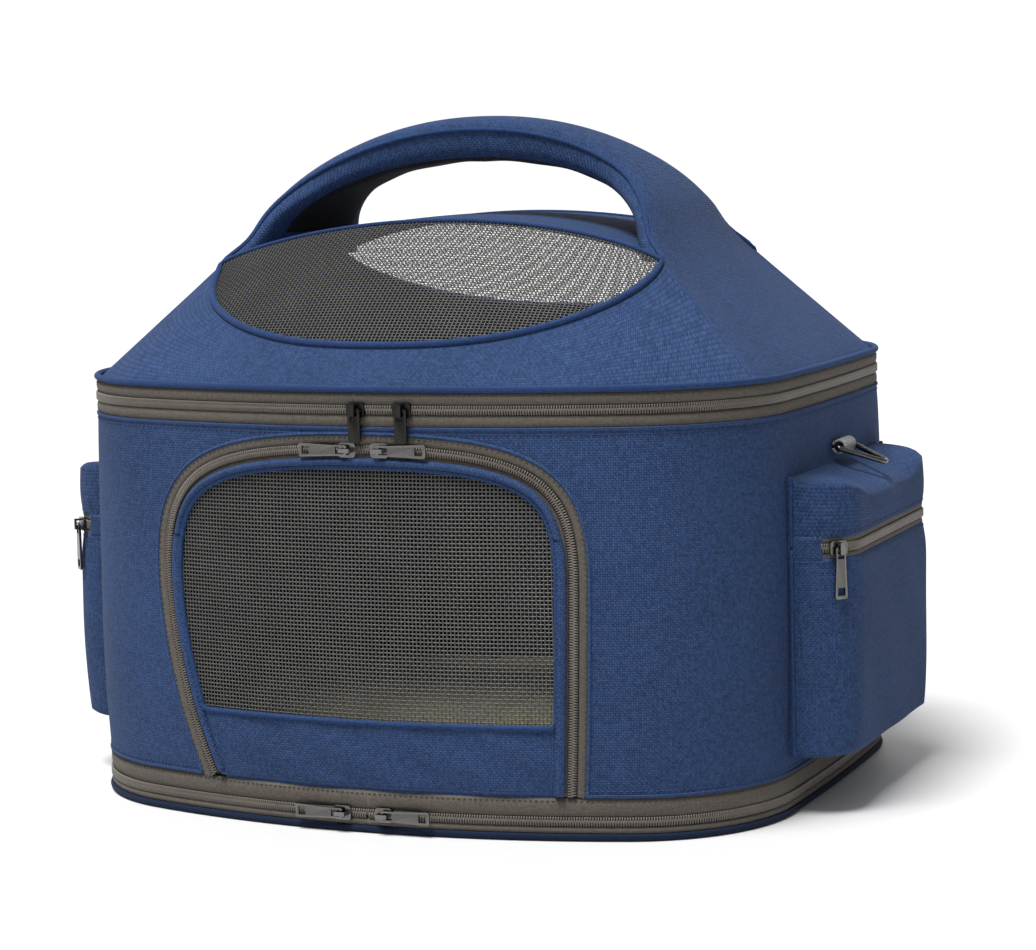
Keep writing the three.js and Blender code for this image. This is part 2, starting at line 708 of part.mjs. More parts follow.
for (const side of ["right", "left"]) {
  const half = new THREE.Group();
  half.scale.x = side === "left" ? -1 : 1;
  group.add(half);
  const sidePiece = (name, solid, look) => {
    const mesh = add(`${side}_${name}`, solid, look);
    half.add(mesh);
    return mesh;
  };
  sidePiece("pocket_box", pocketBox, "fabric");
  sidePiece("pocket_tape", lowTape, "tape");
  sidePiece("hood", hood, "fabric");
  sidePiece("hood_tape", highTape, "tape");
  sidePiece("ring_tab", ringTab(), "webbing");
  sidePiece("ring", triangleRing(), "gunmetal");
  onPocketCorner(sidePiece("pocket_slider", slider(false), "gunmetal"));
  onPocketCorner(sidePiece("pocket_pull", slottedPull, "gunmetal"));
}

export default group;
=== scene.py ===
"""Soft pet carrier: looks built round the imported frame. Lengths in millimetres until a mesh is made."""

import math

import bmesh
import bpy
import numpy as np
from mathutils import Matrix, Vector


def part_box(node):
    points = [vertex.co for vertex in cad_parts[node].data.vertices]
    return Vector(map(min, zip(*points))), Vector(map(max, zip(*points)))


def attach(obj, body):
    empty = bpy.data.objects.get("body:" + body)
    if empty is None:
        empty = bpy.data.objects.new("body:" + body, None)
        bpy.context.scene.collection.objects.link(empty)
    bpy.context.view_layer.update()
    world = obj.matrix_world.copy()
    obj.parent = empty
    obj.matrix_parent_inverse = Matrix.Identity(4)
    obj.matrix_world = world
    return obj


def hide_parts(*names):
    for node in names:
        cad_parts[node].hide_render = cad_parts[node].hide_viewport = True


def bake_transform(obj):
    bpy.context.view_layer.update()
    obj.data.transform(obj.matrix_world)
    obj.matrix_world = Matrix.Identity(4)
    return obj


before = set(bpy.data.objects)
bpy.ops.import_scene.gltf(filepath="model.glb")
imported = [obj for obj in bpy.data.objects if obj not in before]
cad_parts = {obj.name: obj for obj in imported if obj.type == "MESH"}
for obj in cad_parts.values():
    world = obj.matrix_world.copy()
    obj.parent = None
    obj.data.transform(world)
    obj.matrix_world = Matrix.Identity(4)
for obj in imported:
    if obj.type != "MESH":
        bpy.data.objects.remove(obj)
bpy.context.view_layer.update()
MM = 0.001
PI = math.pi


def side_of(node, end, axis):
    """One coordinate of a CAD node's box, in millimetres."""
    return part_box(node)[end][axis] / MM


# ---- driving dimensions, from the frame where a node has them ----
HALF_WIDTH = side_of("body_lid_tape", 1, 0)
HALF_DEPTH = side_of("body_lid_tape", 1, 1)
FRONT_BOW = 47
SIDE_BOW = 6
CORNER_R = 96
WALL_Z0 = side_of("body_base_tape", 1, 2) + 0.3
WALL_Z1 = side_of("body_lid_tape", 0, 2) - 0.3
BASE_ZIP_Z = side_of("base_tape", 1, 2) + 0.2
LID_ZIP_Z = side_of("lid_tape", 0, 2) - 0.2
LID_Z = side_of("lid_tape", 1, 2)
BELLY = 2.2
COIL_HALF = 2.7
TAPE_W = 8.0
TAPE_THICK = 0.8
COIL_PITCH = 1.5
HINGE_HALF = 95
FLECK_LEN = 0.006

DOOR_FOOT_Z = side_of("door_frame_tape", 0, 2)
DOOR_TOP_Z = side_of("door_slider_left", 0, 2) + 4.5
DOOR_LEFT, DOOR_RIGHT = -131, 124
DOOR_FOOT_LEFT, DOOR_FOOT_RIGHT = -103, 120
DOOR_TAPE_W = 4.0
WINDOW_Z0 = side_of("door_mesh", 0, 2)

ROOF_CORNER = np.array([143.0, -84.0, 319.0])
ROOF_BOW_Y = 13
ROOF_RISE = 24.7
SEAM_AT = 0.665
DOME_BULGE = 6
LENS_LOW = 0.228
LENS_CURVE = 2.5
DOME_OFF = 1.8


# ---- plan outline ----
def corner_centre():
    r1, r2 = FRONT_R - CORNER_R, SIDE_R - CORNER_R
    front, side = np.array([0, FRONT_Y]), np.array([SIDE_X, 0])
    span = np.linalg.norm(side - front)
    along = (r1**2 - r2**2 + span**2) / (2 * span)
    across = math.sqrt(r1**2 - along**2)
    u = (side - front) / span
    return front + u * along + np.array([-u[1], u[0]]) * across


corner_x, corner_y = HALF_WIDTH - SIDE_BOW, HALF_DEPTH - FRONT_BOW
FRONT_R = (corner_x**2 + FRONT_BOW**2) / (2 * FRONT_BOW)
FRONT_Y = FRONT_R - HALF_DEPTH
SIDE_R = (corner_y**2 + SIDE_BOW**2) / (2 * SIDE_BOW)
SIDE_X = HALF_WIDTH - SIDE_R
CORNER = corner_centre()
FRONT_END = math.atan2(CORNER[1] - FRONT_Y, CORNER[0])
SIDE_START = math.atan2(CORNER[1], CORNER[0] - SIDE_X)
FRONT_LEN = (FRONT_END + PI / 2) * FRONT_R
CORNER_LEN = (SIDE_START - FRONT_END) * CORNER_R
QUARTER = FRONT_LEN + CORNER_LEN - SIDE_START * SIDE_R
ROUND = 4 * QUARTER


def rim(s, off=0.0):
    """Plan points at arc length s from the front's centre towards +X; off is measured inwards."""
    s, off = np.broadcast_arrays(np.asarray(s, float), off)
    turn = np.floor(s / QUARTER).astype(int) % 4
    f = np.mod(s, QUARTER)
    f = np.where(turn % 2 == 1, QUARTER - f, f)
    pieces = [
        (0, FRONT_Y, FRONT_R, f / FRONT_R - PI / 2),
        (CORNER[0], CORNER[1], CORNER_R, FRONT_END + (f - FRONT_LEN) / CORNER_R),
        (SIDE_X, 0, SIDE_R, SIDE_START + (f - FRONT_LEN - CORNER_LEN) / SIDE_R),
    ]
    xy = [(cx + (r - off) * np.cos(a), cy + (r - off) * np.sin(a)) for cx, cy, r, a in pieces]
    which = (f > FRONT_LEN).astype(int) + (f > FRONT_LEN + CORNER_LEN)
    x = np.choose(which, [p[0] for p in xy])
    y = np.choose(which, [p[1] for p in xy])
    return np.where(turn >= 2, -x, x), np.where((turn == 1) | (turn == 2), -y, y)


def ripple(s, z):
    """Slow waves of the soft wall, in millimetres; they close up round the bag."""
    a = 2 * PI * np.asarray(s, float) / ROUND
    waves = [(7, 0.021, 0.4, 0.45), (13, -0.017, 1.9, 0.3), (23, 0.032, 4.1, 0.2), (37, 0.05, 2.2, 0.1)]
    return sum(size * np.sin(n * a + k * z + start) for n, k, start, size in waves)


def wall_point(s, z, lift=0.0):
    """Point of the body's outer surface, in millimetres, lift outwards."""
    s, z, lift = np.broadcast_arrays(np.asarray(s, float), z, lift)
    share = np.clip((z - WALL_Z0) / (WALL_Z1 - WALL_Z0), 0, 1)
    belly = np.sin(PI * share) ** 0.7
    x, y = rim(s, -(lift + belly * (BELLY + ripple(s, z))))
    return np.stack([x, y, z], -1)


# ---- lid slopes ----
def roof_edge(u, depth=0.0):
    rest = np.clip(1 - u * u, 0, 1)
    return np.stack(
        [
            (ROOF_CORNER[0] - depth) * u,
            ROOF_CORNER[1] + ROOF_BOW_Y * rest + depth,
            ROOF_CORNER[2] + ROOF_RISE * rest**0.8 - 0.7 * depth,
        ],
        -1,
    )


def slope_point(u, v, depth=0.0):
    """Front slope of the lid: u from seam to seam (-1 to 1), v from the rim to the roof."""
    u, v = np.broadcast_arrays(np.asarray(u, float), v)
    x, y = rim(SEAM_AT * QUARTER * np.abs(u), DOME_OFF + depth)
    foot = np.stack([np.sign(u) * x, y, np.full_like(x, LID_Z + 0.3)], -1)
    p = foot + (roof_edge(u, depth) - foot) * v[..., None]
    swell = DOME_BULGE * (1 - u * u) * np.sin(PI * v)
    p[..., 1] -= 0.6 * swell
    p[..., 2] += 0.8 * swell
    return p


def lens_foot(u):
    return LENS_LOW + (1 - LENS_LOW) * np.abs(u) ** LENS_CURVE


# ---- mesh making ----
def smooth(obj):
    obj.data.polygons.foreach_set("use_smooth", [True] * len(obj.data.polygons))
    return obj


def linked(name, data):
    obj = bpy.data.objects.new(name, data)
    bpy.context.scene.collection.objects.link(obj)
    return obj


def new_object(name, points, faces, material, uv=None):
    """points in millimetres; uv is one pair for each point, in millimetres too."""
    mesh = bpy.data.meshes.new(name)
    mesh.from_pydata((np.asarray(points, float).reshape(-1, 3) * MM).tolist(), [], faces)
    if uv is not None:
        layer = mesh.uv_layers.new(name="UVMap")
        corner = np.empty(len(mesh.loops), int)
        mesh.loops.foreach_get("vertex_index", corner)
        layer.data.foreach_set("uv", (np.asarray(uv, float).reshape(-1, 2)[corner] * MM).ravel())
    mesh.materials.append(material)
    return smooth(linked(name, mesh))


def grid_faces(rows, columns, closed=False):
    """Faces between a grid's points; closed joins its last column to its first."""
    i, j = np.meshgrid(np.arange(rows - 1), np.arange(columns - (not closed)), indexing="ij")
    k = (j + 1) % columns
    corners = (i * columns + j, i * columns + k, (i + 1) * columns + k, (i + 1) * columns + j)
    return np.stack(corners, -1).reshape(-1, 4)


def thicken(obj, thickness):
    """Gives a surface its thickness behind it, as real faces."""
    change = obj.modifiers.new("thickness", "SOLIDIFY")
    change.thickness = thickness * MM
    change.offset = -1
    change.use_even_offset = True
    made = bpy.data.meshes.new_from_object(obj.evaluated_get(bpy.context.evaluated_depsgraph_get()))
    obj.modifiers.clear()
    old, obj.data = obj.data, made
    bpy.data.meshes.remove(old)
    made.name = obj.name
    return smooth(obj)


def grid_object(name, P, uv, material, keep=None, closed=False):
    """Sheet over a grid of points; keep picks its faces."""
    faces = grid_faces(*P.shape[:2], closed)
    if keep is not None:
        faces = faces[keep.ravel()]
    used, index = np.unique(faces, return_inverse=True)
    points, uv = P.reshape(-1, 3)[used], uv.reshape(-1, 2)[used]
    return new_object(name, points, index.reshape(-1, 4).tolist(), material, uv)


def sheet_uv(P):
    """Real lengths along a grid: across from its middle column and along that column."""
    step = np.linalg.norm(np.diff(P, axis=1), axis=2)
    u = np.concatenate([np.zeros((len(P), 1)), np.cumsum(step, axis=1)], 1)
    middle = P.shape[1] // 2
    v = lengths(P[:, middle])
    return np.stack([u - u[:, middle : middle + 1], np.broadcast_to(v[:, None], u.shape)], -1)


def lengths(path):
    """Run along a line up to each of its points."""
    step = np.linalg.norm(np.diff(path, axis=0), axis=1)
    return np.concatenate([[0], np.cumsum(step)])


def resample(path, spacing):
    """The same line with even steps of about that spacing."""
    run = lengths(path)
    count = max(2, int(round(run[-1] / spacing)) + 1)
    at = np.linspace(0, run[-1], count)
    return np.stack([np.interp(at, run, path[:, k]) for k in range(path.shape[1])], -1)


def cross_directions(P, closed):
    """Two unit directions across a line at each of its points, without twist."""
    T = np.roll(P, -1, 0) - np.roll(P, 1, 0) if closed else np.gradient(P, axis=0)
    T /= np.linalg.norm(T, axis=1)[:, None]
    A = np.cross(T, (0, 0, 1.0))
    upright = np.linalg.norm(A, axis=1) < 0.2
    A[upright] = np.cross(T[upright], (0, 1.0, 0))
    for i in range(1, len(A)):
        if A[i] @ A[i - 1] < 0:
            A[i] = -A[i]
    A /= np.linalg.norm(A, axis=1)[:, None]
    return A, np.cross(T, A)


def tube(name, P, radius, material, closed=False, sides=10, flat=1.0):
    """Round cord along a line; flat squeezes it along the second cross direction."""
    P = np.asarray(P, float)
    A, B = cross_directions(P, closed)
    angle = 2 * PI * np.arange(sides) / sides
    radius = np.broadcast_to(np.asarray(radius, float), (len(P),))[:, None]
    ring = P[:, None] + radius[..., None] * (
        np.cos(angle)[None, :, None] * A[:, None] + flat * np.sin(angle)[None, :, None] * B[:, None]
    )
    uv = np.stack(np.broadcast_arrays(lengths(P)[:, None], angle * radius), -1)
    faces = grid_faces(len(P), sides, True)[:, ::-1].tolist()
    last = (len(P) - 1) * sides
    if closed:
        faces += [[k, last + k, last + (k + 1) % sides, (k + 1) % sides] for k in range(sides)]
    else:
        faces += [list(range(sides)), list(range(last + sides - 1, last - 1, -1))]
    return face_out(new_object(name, ring, faces, material, uv))


def face_out(obj):
    """Turns all faces of a closed mesh outwards."""
    bm = bmesh.new()
    bm.from_mesh(obj.data)
    bmesh.ops.recalc_face_normals(bm, faces=bm.faces)
    bm.to_mesh(obj.data)
    bm.free()
    return obj


def face_away(obj, centre=(0, 0, 150)):
    """Turns an open sheet so that its normals point away from a place, in millimetres."""
    centre = Vector(centre) * MM
    if sum(f.area * f.normal.dot(f.center - centre) for f in obj.data.polygons) < 0:
        obj.data.flip_normals()
    return obj


def across(path):
    """Unit directions to the left of a flat line of (s, z) points."""
    T = np.gradient(path, axis=0)
    T /= np.linalg.norm(T, axis=1)[:, None]
    return np.stack([-T[:, 1], T[:, 0]], -1)


def strip(name, path, near, far, material, surface, lift=0.0, crown=0.3, steps=5):
    """Band of tape or cloth beside a flat line, from near to far to its left."""
    a = np.linspace(near, far, steps)
    flat = path[None] + a[:, None, None] * across(path)[None]
    rise = lift + crown * np.sin(PI * np.arange(steps) / (steps - 1))
    P = surface(flat[..., 0], flat[..., 1], np.broadcast_to(rise[:, None], flat.shape[:2]))
    uv = np.stack(np.broadcast_arrays(lengths(path)[None, :], a[:, None]), -1)
    return thicken(face_away(grid_object(name, P, uv, material)), TAPE_THICK)


def small_parts(name, centres, axes, sizes, shape, faces, material):
    """Many copies of one small shape in one mesh, each on its own three axes."""
    shape = np.asarray(shape, float)
    axes = [axis * size for axis, size in zip(axes, sizes)]
    P = centres[:, None] + sum(shape[None, :, k, None] * axis[:, None] for k, axis in enumerate(axes))
    first = len(shape) * np.arange(len(centres))[:, None]
    return new_object(name, P, [f for face in faces for f in (np.array(face) + first).tolist()], material)


# One coil loop: a rounded bar across the zip, raised in its middle.
LOOP_HALF = (1.05, 1.75, 1.5)
LOOP_OFFSET = 0.95
LOOP_RING = [(-0.5, 0.0), (-0.36, 0.75), (0.36, 0.75), (0.5, 0.0)]
LOOP_SHAPE = [
    (along, a, h * bend + 0.02)
    for a, bend in ((-1.0, 0.55), (-0.55, 1.0), (0.55, 1.0), (1.0, 0.45))
    for along, h in LOOP_RING
]
LOOP_FACES = grid_faces(4, 4, True).tolist() + [[3, 2, 1, 0], [12, 13, 14, 15]]
# One stitch: a bar with two pointed ends.
STITCH_HALF = (1.2, 0.32, 0.4)
STITCH_SHAPE = [
    (-1, 0, 0), (-0.4, -1, 0), (-0.4, 0, 1), (-0.4, 1, 0), (0.4, -1, 0), (0.4, 0, 1), (0.4, 1, 0), (1, 0, 0)
]
STITCH_FACES = [
    [0, 1, 2], [0, 2, 3], [1, 4, 5, 2], [2, 5, 6, 3], [4, 7, 5], [5, 7, 6], [0, 3, 1], [1, 3, 6, 4], [4, 6, 7]
]


def along_line(path, spacing, offset, surface, lift, start=0.0):
    """Places along a flat line: centres, and unit vectors ahead, to the left and outwards."""
    run = lengths(path)
    at = np.arange(start + spacing / 2, run[-1], spacing)
    lines = (path, across(path))
    flat, left = (np.stack([np.interp(at, run, line[:, k]) for k in (0, 1)], -1) for line in lines)
    ahead = np.stack([left[:, 1], -left[:, 0]], -1)

    def place(step_ahead, step_left, up):
        p = flat + step_ahead * ahead + (offset + step_left) * left
        return surface(*p.T, lift + up)

    centre = place(0, 0, 0)
    axes = (
        place(0.5, 0, 0) - place(-0.5, 0, 0),
        place(0, 0.5, 0) - place(0, -0.5, 0),
        place(0, 0, 1) - centre,
    )
    return centre, *(axis / np.linalg.norm(axis, axis=1)[:, None] for axis in axes)


def zip_half(gap_shade_name, coil_name, line, near, far, surface, gap_shade_lift, coil_lift, body):
    """Half of a zip: a near-black strip of painted shade in its slot, and coil loops that reach just past the
    middle.
    """
    done(strip(gap_shade_name, line, near, far, ZIP_GAP_SHADE, surface, gap_shade_lift, crown=0, steps=3), body, "tape")
    side = math.copysign(1, far)
    start = 0.0 if side > 0 else COIL_PITCH / 2
    c, *axes = along_line(line, COIL_PITCH, side * LOOP_OFFSET, surface, coil_lift, start)
    sizes = LOOP_HALF * np.array([1, side, 1])
    done(small_parts(coil_name, c, axes, sizes, LOOP_SHAPE, LOOP_FACES, COIL), body, "tape")


def stitches(name, line, offset, surface, lift, body, slot, spacing=3.4):
    """A row of stitches beside a line, in the thread of its slot."""
    c, *axes = along_line(line, spacing, offset, surface, lift)
    thread = TAPE_SEWING if slot == "tape" else SEWING
    done(small_parts(name, c, axes, STITCH_HALF, STITCH_SHAPE, STITCH_FACES, thread), body, slot)


# ---- materials ----
class Shader:
    """Builds one material's nodes."""

    def __init__(self, name):
        self.material = bpy.data.materials.new(name)
        self.material.use_nodes = True
        self.tree = self.material.node_tree
        self.surface = self.tree.nodes["Principled BSDF"]

    def node(self, kind, inputs=(), **settings):
        made = self.tree.nodes.new("ShaderNode" + kind)
        for key, value in settings.items():
            setattr(made, key, value)
        for socket, value in dict(inputs).items():
            self.put(made.inputs[socket], value)
        return made

    def put(self, socket, value):
        if isinstance(value, bpy.types.NodeSocket):
            self.tree.links.new(value, socket)
        else:
            socket.default_value = value

    def math(self, operation, a, b=0.0):
        return self.node("Math", {0: a, 1: b}, operation=operation).outputs[0]

    def times(self, a, b):
        return self.math("MULTIPLY", a, b)

    def plus(self, a, b):
        return self.math("ADD", a, b)

    def mix(self, factor, a, b):
        return self.node("Mix", {0: factor, 6: a, 7: b}, data_type="RGBA").outputs[2]

    def ramp(self, factor, low, high, dark=0.0, light=1.0):
        return self.node("MapRange", {0: factor, 1: low, 2: high, 3: dark, 4: light}).outputs[0]

    def noise(self, vector, scale, detail):
        inputs = {"Vector": vector, "Scale": scale, "Detail": detail, "Roughness": 0.5}
        return self.node("TexNoise", inputs).outputs["Fac"]

    def set(self, **values):
        for key, value in values.items():
            self.put(self.surface.inputs[key.replace("_", " ")], value)

    def bump(self, height, distance):
        made = self.node("Bump", {"Height": height, "Distance": distance, "Strength": 1.0})
        self.put(self.surface.inputs["Normal"], made.outputs[0])


def cloth(name, light, dark, pitch=0.0014, bump=0.0003, sheen=0.03, contrast=1.0):
    """Two-tone plain weave on the piece's own uv, with flecks along its threads and painted shade in the gaps
    between them.
    """
    s = Shader(name)
    uv = s.node("UVMap").outputs[0]
    split = s.node("SeparateXYZ", {0: uv})
    place = s.node("TexCoord").outputs["Object"]
    a, b = (s.math("DIVIDE", split.outputs[k], pitch) for k in (0, 1))
    wave_a, wave_b = (s.math("ABSOLUTE", s.math("SINE", s.times(c, PI))) for c in (a, b))
    over = s.math("FLOORED_MODULO", s.plus(s.math("FLOOR", a), s.math("FLOOR", b)), 2.0)
    height = s.plus(s.times(over, wave_a), s.times(s.math("SUBTRACT", 1.0, over), wave_b))
    cell = s.node("CombineXYZ", {0: s.math("FLOOR", a), 1: s.math("FLOOR", b)}).outputs[0]
    crossing = s.node("TexWhiteNoise", {"Vector": cell}, noise_dimensions="2D").outputs[0]
    warp = s.node("CombineXYZ", {0: s.math("FLOOR", a), 1: s.math("DIVIDE", split.outputs[1], FLECK_LEN)})
    weft = s.node("CombineXYZ", {0: s.math("DIVIDE", split.outputs[0], FLECK_LEN), 1: s.math("FLOOR", b)})
    yarn = s.plus(s.noise(warp.outputs[0], 0.9, 1.0), s.noise(weft.outputs[0], 0.9, 1.0))
    yarn = s.ramp(s.times(yarn, 0.5), 0.3, 0.7)
    fleck = s.plus(s.times(crossing, 0.45 * contrast), s.times(yarn, 0.35 * contrast))
    fleck = s.plus(fleck, 0.5 - 0.4 * contrast)
    worn = s.ramp(s.noise(place, 11.0, 3.0), 0.3, 0.7)
    shade = s.plus(s.times(fleck, 0.86), s.times(worn, 0.14))
    # Painted shade: the gaps between the threads are darkened by the weave's height, on top of the flecks.
    flecks_and_gap_shade = s.times(shade, s.ramp(height, 0.0, 0.7, 0.3, 1.0))
    color = s.mix(flecks_and_gap_shade, (*dark, 1), (*light, 1))
    edges = s.ramp(s.node("NewGeometry").outputs["Pointiness"], 0.52, 0.62, 0.0, 0.22)
    color = s.mix(edges, color, (*[min(1, 1.5 * c + 0.02) for c in light], 1))
    s.set(Base_Color=color, Sheen_Weight=sheen, Sheen_Roughness=0.45, IOR=1.45, Specular_IOR_Level=0.12)
    s.set(Roughness=s.ramp(fleck, 0.0, 1.0, 0.79, 0.91))
    s.bump(height, bump)
    return s.material


def threads(name, light, dark, rough=0.55):
    """Plain monofilament or sewing thread, a little uneven."""
    s = Shader(name)
    place = s.node("TexCoord").outputs["Object"]
    spot = s.noise(place, 900.0, 1.0)
    broad = s.noise(place, 40.0, 2.0)
    color = s.mix(s.plus(s.times(spot, 0.6), s.times(broad, 0.4)), (*dark, 1), (*light, 1))
    s.set(Base_Color=color, Roughness=s.ramp(spot, 0.3, 0.7, rough - 0.1, rough + 0.1))
    s.bump(spot, 0.00008)
    return s.material


def metal(name, tone, rough):
    """Dark plated metal with fine scratches, and a painted highlight along its corners."""
    s = Shader(name)
    place = s.node("TexCoord").outputs["Object"]
    stretched = s.node("Mapping", {"Vector": place, "Scale": (300.0, 300.0, 2200.0)}).outputs[0]
    scratch = s.noise(stretched, 1.0, 3.0)
    # Painted highlight: pointy edges take a colour about three times brighter.
    edge_highlight = s.ramp(s.node("NewGeometry").outputs["Pointiness"], 0.5, 0.6)
    color = s.mix(edge_highlight, (tone, tone, tone * 1.02, 1), (tone * 3.2, tone * 3.1, tone * 3.0, 1))
    s.set(Base_Color=color, Metallic=1.0, Roughness=s.ramp(scratch, 0.3, 0.7, rough - 0.08, rough + 0.12))
    s.bump(scratch, 0.00003)
    return s.material


BLUE = cloth("blue_oxford", (0.054, 0.105, 0.245), (0.0066, 0.0142, 0.045), contrast=0.75)
PIPING = cloth("blue_binding", (0.036, 0.08, 0.215), (0.005, 0.013, 0.045), pitch=0.0008, bump=0.0001)
TAPE = cloth("zip_tape", (0.17, 0.15, 0.128), (0.05, 0.044, 0.038), pitch=0.0007, bump=0.0001, sheen=0.05)
COIL = threads("coil_nylon", (0.17, 0.145, 0.122), (0.05, 0.043, 0.037), rough=0.38)
# Painted shade: a near-black strip under the coil, standing for the shadow in the zip's gap.
ZIP_GAP_SHADE = threads("zip_shadow_tape", (0.022, 0.019, 0.017), (0.010, 0.009, 0.008), rough=0.8)
NET = threads("net_yarn", (0.122, 0.121, 0.116), (0.022, 0.0217, 0.021), rough=0.5)
# Lining cloth darkened to near black: painted shade inside the bag.
SHADED_LINING = cloth("lining_painted_shade", (0.022, 0.024, 0.028), (0.006, 0.0065, 0.008), bump=0.0001)
PAD = cloth("quilted_pad", (0.39, 0.36, 0.235), (0.19, 0.17, 0.105), bump=0.00015)
BOARD = threads("stiff_board", (0.09, 0.09, 0.085), (0.06, 0.06, 0.055), rough=0.7)
WEBBING = cloth("grey_webbing", (0.40, 0.41, 0.42), (0.17, 0.175, 0.18))
# Darker copy of the blue binding for the base's bottom piping: its own blue, with the shade along the bag's
# foot painted in.
SHADED_BINDING = cloth("binding_painted_shade", (0.012, 0.024, 0.06), (0.003, 0.006, 0.018), pitch=0.0008, bump=0.0001)
SEWING = threads("sewing_thread", (0.03, 0.065, 0.18), (0.01, 0.022, 0.075), rough=0.6)
TAPE_SEWING = threads("tape_thread", (0.075, 0.066, 0.058), (0.04, 0.035, 0.03), rough=0.6)
GUNMETAL = metal("gunmetal", 0.06, rough=0.2)
BLACK = metal("black_plate", 0.012, rough=0.3)


def done(obj, body, slot, *nodes):
    """The piece rides on a body and stands for CAD nodes, which it hides; slot is not used."""
    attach(obj, body)
    if nodes:
        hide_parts(*nodes)


# ---- camera, light, floor ----
EYE = Vector((0.72197, -1.69559, 0.39803))
AZIMUTH, ELEVATION, ROLL = (math.radians(a) for a in (22.64, 6.70, -1.43))
WHITE_WALL_AT = (-0.41, 0.91, 0.0)
WHITE_WALL_FALL = ((1, 0.35), (2, 0.85), (3, 0.35), (4, 1.02))
KEY_TOWARDS = Vector((0.13, 0.32, -1.0))
KEY_STRENGTH = 4.9
KEY_WIDTH = math.radians(26)
SENSOR_WIDTH, FOCAL_LENGTH = 36, 103.06
FLOOR_RADIUS = 12


def make_camera():
    data = bpy.data.cameras.new("camera")
    camera = linked("camera", data)
    data.sensor_fit = "HORIZONTAL"
    data.sensor_width = SENSOR_WIDTH
    data.lens = FOCAL_LENGTH
    data.clip_end = 100
    back = Vector((math.sin(AZIMUTH), -math.cos(AZIMUTH), math.tan(ELEVATION))) * math.cos(ELEVATION)
    right = Vector((math.cos(AZIMUTH), math.sin(AZIMUTH), 0))
    up = back.cross(right)
    turned_right = right * math.cos(ROLL) + up * math.sin(ROLL)
    turned_up = up * math.cos(ROLL) - right * math.sin(ROLL)
    turn = Matrix((turned_right, turned_up, back)).transposed().to_4x4()
    camera.matrix_world = Matrix.Translation(EYE) @ turn
    bpy.context.scene.camera = camera


def make_light():
    """A pale room with one white wall at the back left, and a broad key from above and in front."""
    world = bpy.data.worlds.new("studio")
    bpy.context.scene.world = world
    world.use_nodes = True
    nodes, links = world.node_tree.nodes, world.node_tree.links
    place = nodes.new("ShaderNodeTexCoord")
    towards = nodes.new("ShaderNodeVectorMath")
    towards.operation = "DOT_PRODUCT"
    towards.inputs[1].default_value = WHITE_WALL_AT
    fall = nodes.new("ShaderNodeMapRange")
    for socket, value in WHITE_WALL_FALL:
        fall.inputs[socket].default_value = value
    links.new(place.outputs["Generated"], towards.inputs[0])
    links.new(towards.outputs["Value"], fall.inputs[0])
    links.new(fall.outputs[0], nodes["Background"].inputs[1])
    nodes["Background"].inputs[0].default_value = (1, 1, 1, 1)
    data = bpy.data.lights.new("key", "SUN")
    data.energy = KEY_STRENGTH
    data.angle = KEY_WIDTH
    key = linked("key", data)
    key.rotation_euler = KEY_TOWARDS.to_track_quat("-Z", "Y").to_euler()
    bpy.context.scene.view_settings.view_transform = "Standard"


def make_floor():
    s = Shader("studio_floor")
    place = s.node("TexCoord").outputs["Object"]
    tone = s.noise(place, 3.0, 2.0)
    s.set(Base_Color=s.mix(tone, (0.60, 0.60, 0.60, 1), (0.63, 0.63, 0.63, 1)), Roughness=0.6)
    just_below = (0, 0, -0.0002)
    bpy.ops.mesh.primitive_circle_add(vertices=96, radius=FLOOR_RADIUS, fill_type="NGON", location=just_below)
    floor = bpy.context.object
    floor.name = "studio_floor"
    floor.data.materials.append(s.material)


# ---- outer wall, lining and bands ----
def bezier(p0, p1, p2, p3, count):
    t = np.linspace(0, 1, count)[:, None]
    p0, p1, p2, p3 = np.array([p0, p1, p2, p3], float)
    return (1 - t) ** 3 * p0 + 3 * (1 - t) ** 2 * t * p1 + 3 * (1 - t) * t * t * p2 + t**3 * p3


def quadratic(p0, p1, p2, count):
    t = np.linspace(0, 1, count)[:, None]
    p0, p1, p2 = np.array([p0, p1, p2], float)
    return (1 - t) ** 2 * p0 + 2 * (1 - t) * t * p1 + t * t * p2


def door_line(inset, spacing=2.0):
    """The door's zip line from its left foot over the top to its right foot, as (s, z)."""
    left = quadratic((DOOR_FOOT_LEFT, DOOR_FOOT_Z), (DOOR_LEFT + 2, 84), (DOOR_LEFT, 140), 40)
    over = bezier((DOOR_LEFT, 140), (DOOR_LEFT, 198), (-112, DOOR_TOP_Z), (0, DOOR_TOP_Z), 60)
    down = bezier((0, DOOR_TOP_Z), (100, DOOR_TOP_Z), (DOOR_RIGHT, 206), (DOOR_RIGHT, 150), 60)
    right = quadratic((DOOR_RIGHT, 150), (DOOR_RIGHT - 1, 84), (DOOR_FOOT_RIGHT, DOOR_FOOT_Z), 40)
    line = np.concatenate([left, over[1:], down[1:], right[1:]])
    line[:, 0] = FRONT_R * np.arcsin(line[:, 0] / FRONT_R)
    line = resample(line, spacing)
    moved = line - across(line) * inset
    keep = moved[:, 1] > DOOR_FOOT_Z - 0.5
    return resample(moved[keep], spacing)


def inside(points, outline):
    """Which (s, z) points are inside a closed outline."""
    x, y = points[..., 0], points[..., 1]
    hit = np.zeros(x.shape, bool)
    for (x0, y0), (x1, y1) in zip(outline, np.roll(outline, -1, 0)):
        if y0 == y1:
            continue
        crosses = (y0 > y) != (y1 > y)
        hit ^= crosses & (x < (x1 - x0) * (y - y0) / (y1 - y0) + x0)
    return hit


def ring_line(z, start=0.0, end=ROUND):
    """Flat line along the wall at height z."""
    s = np.arange(start, end, 2.5)
    return np.stack([s, np.full_like(s, z)], -1)


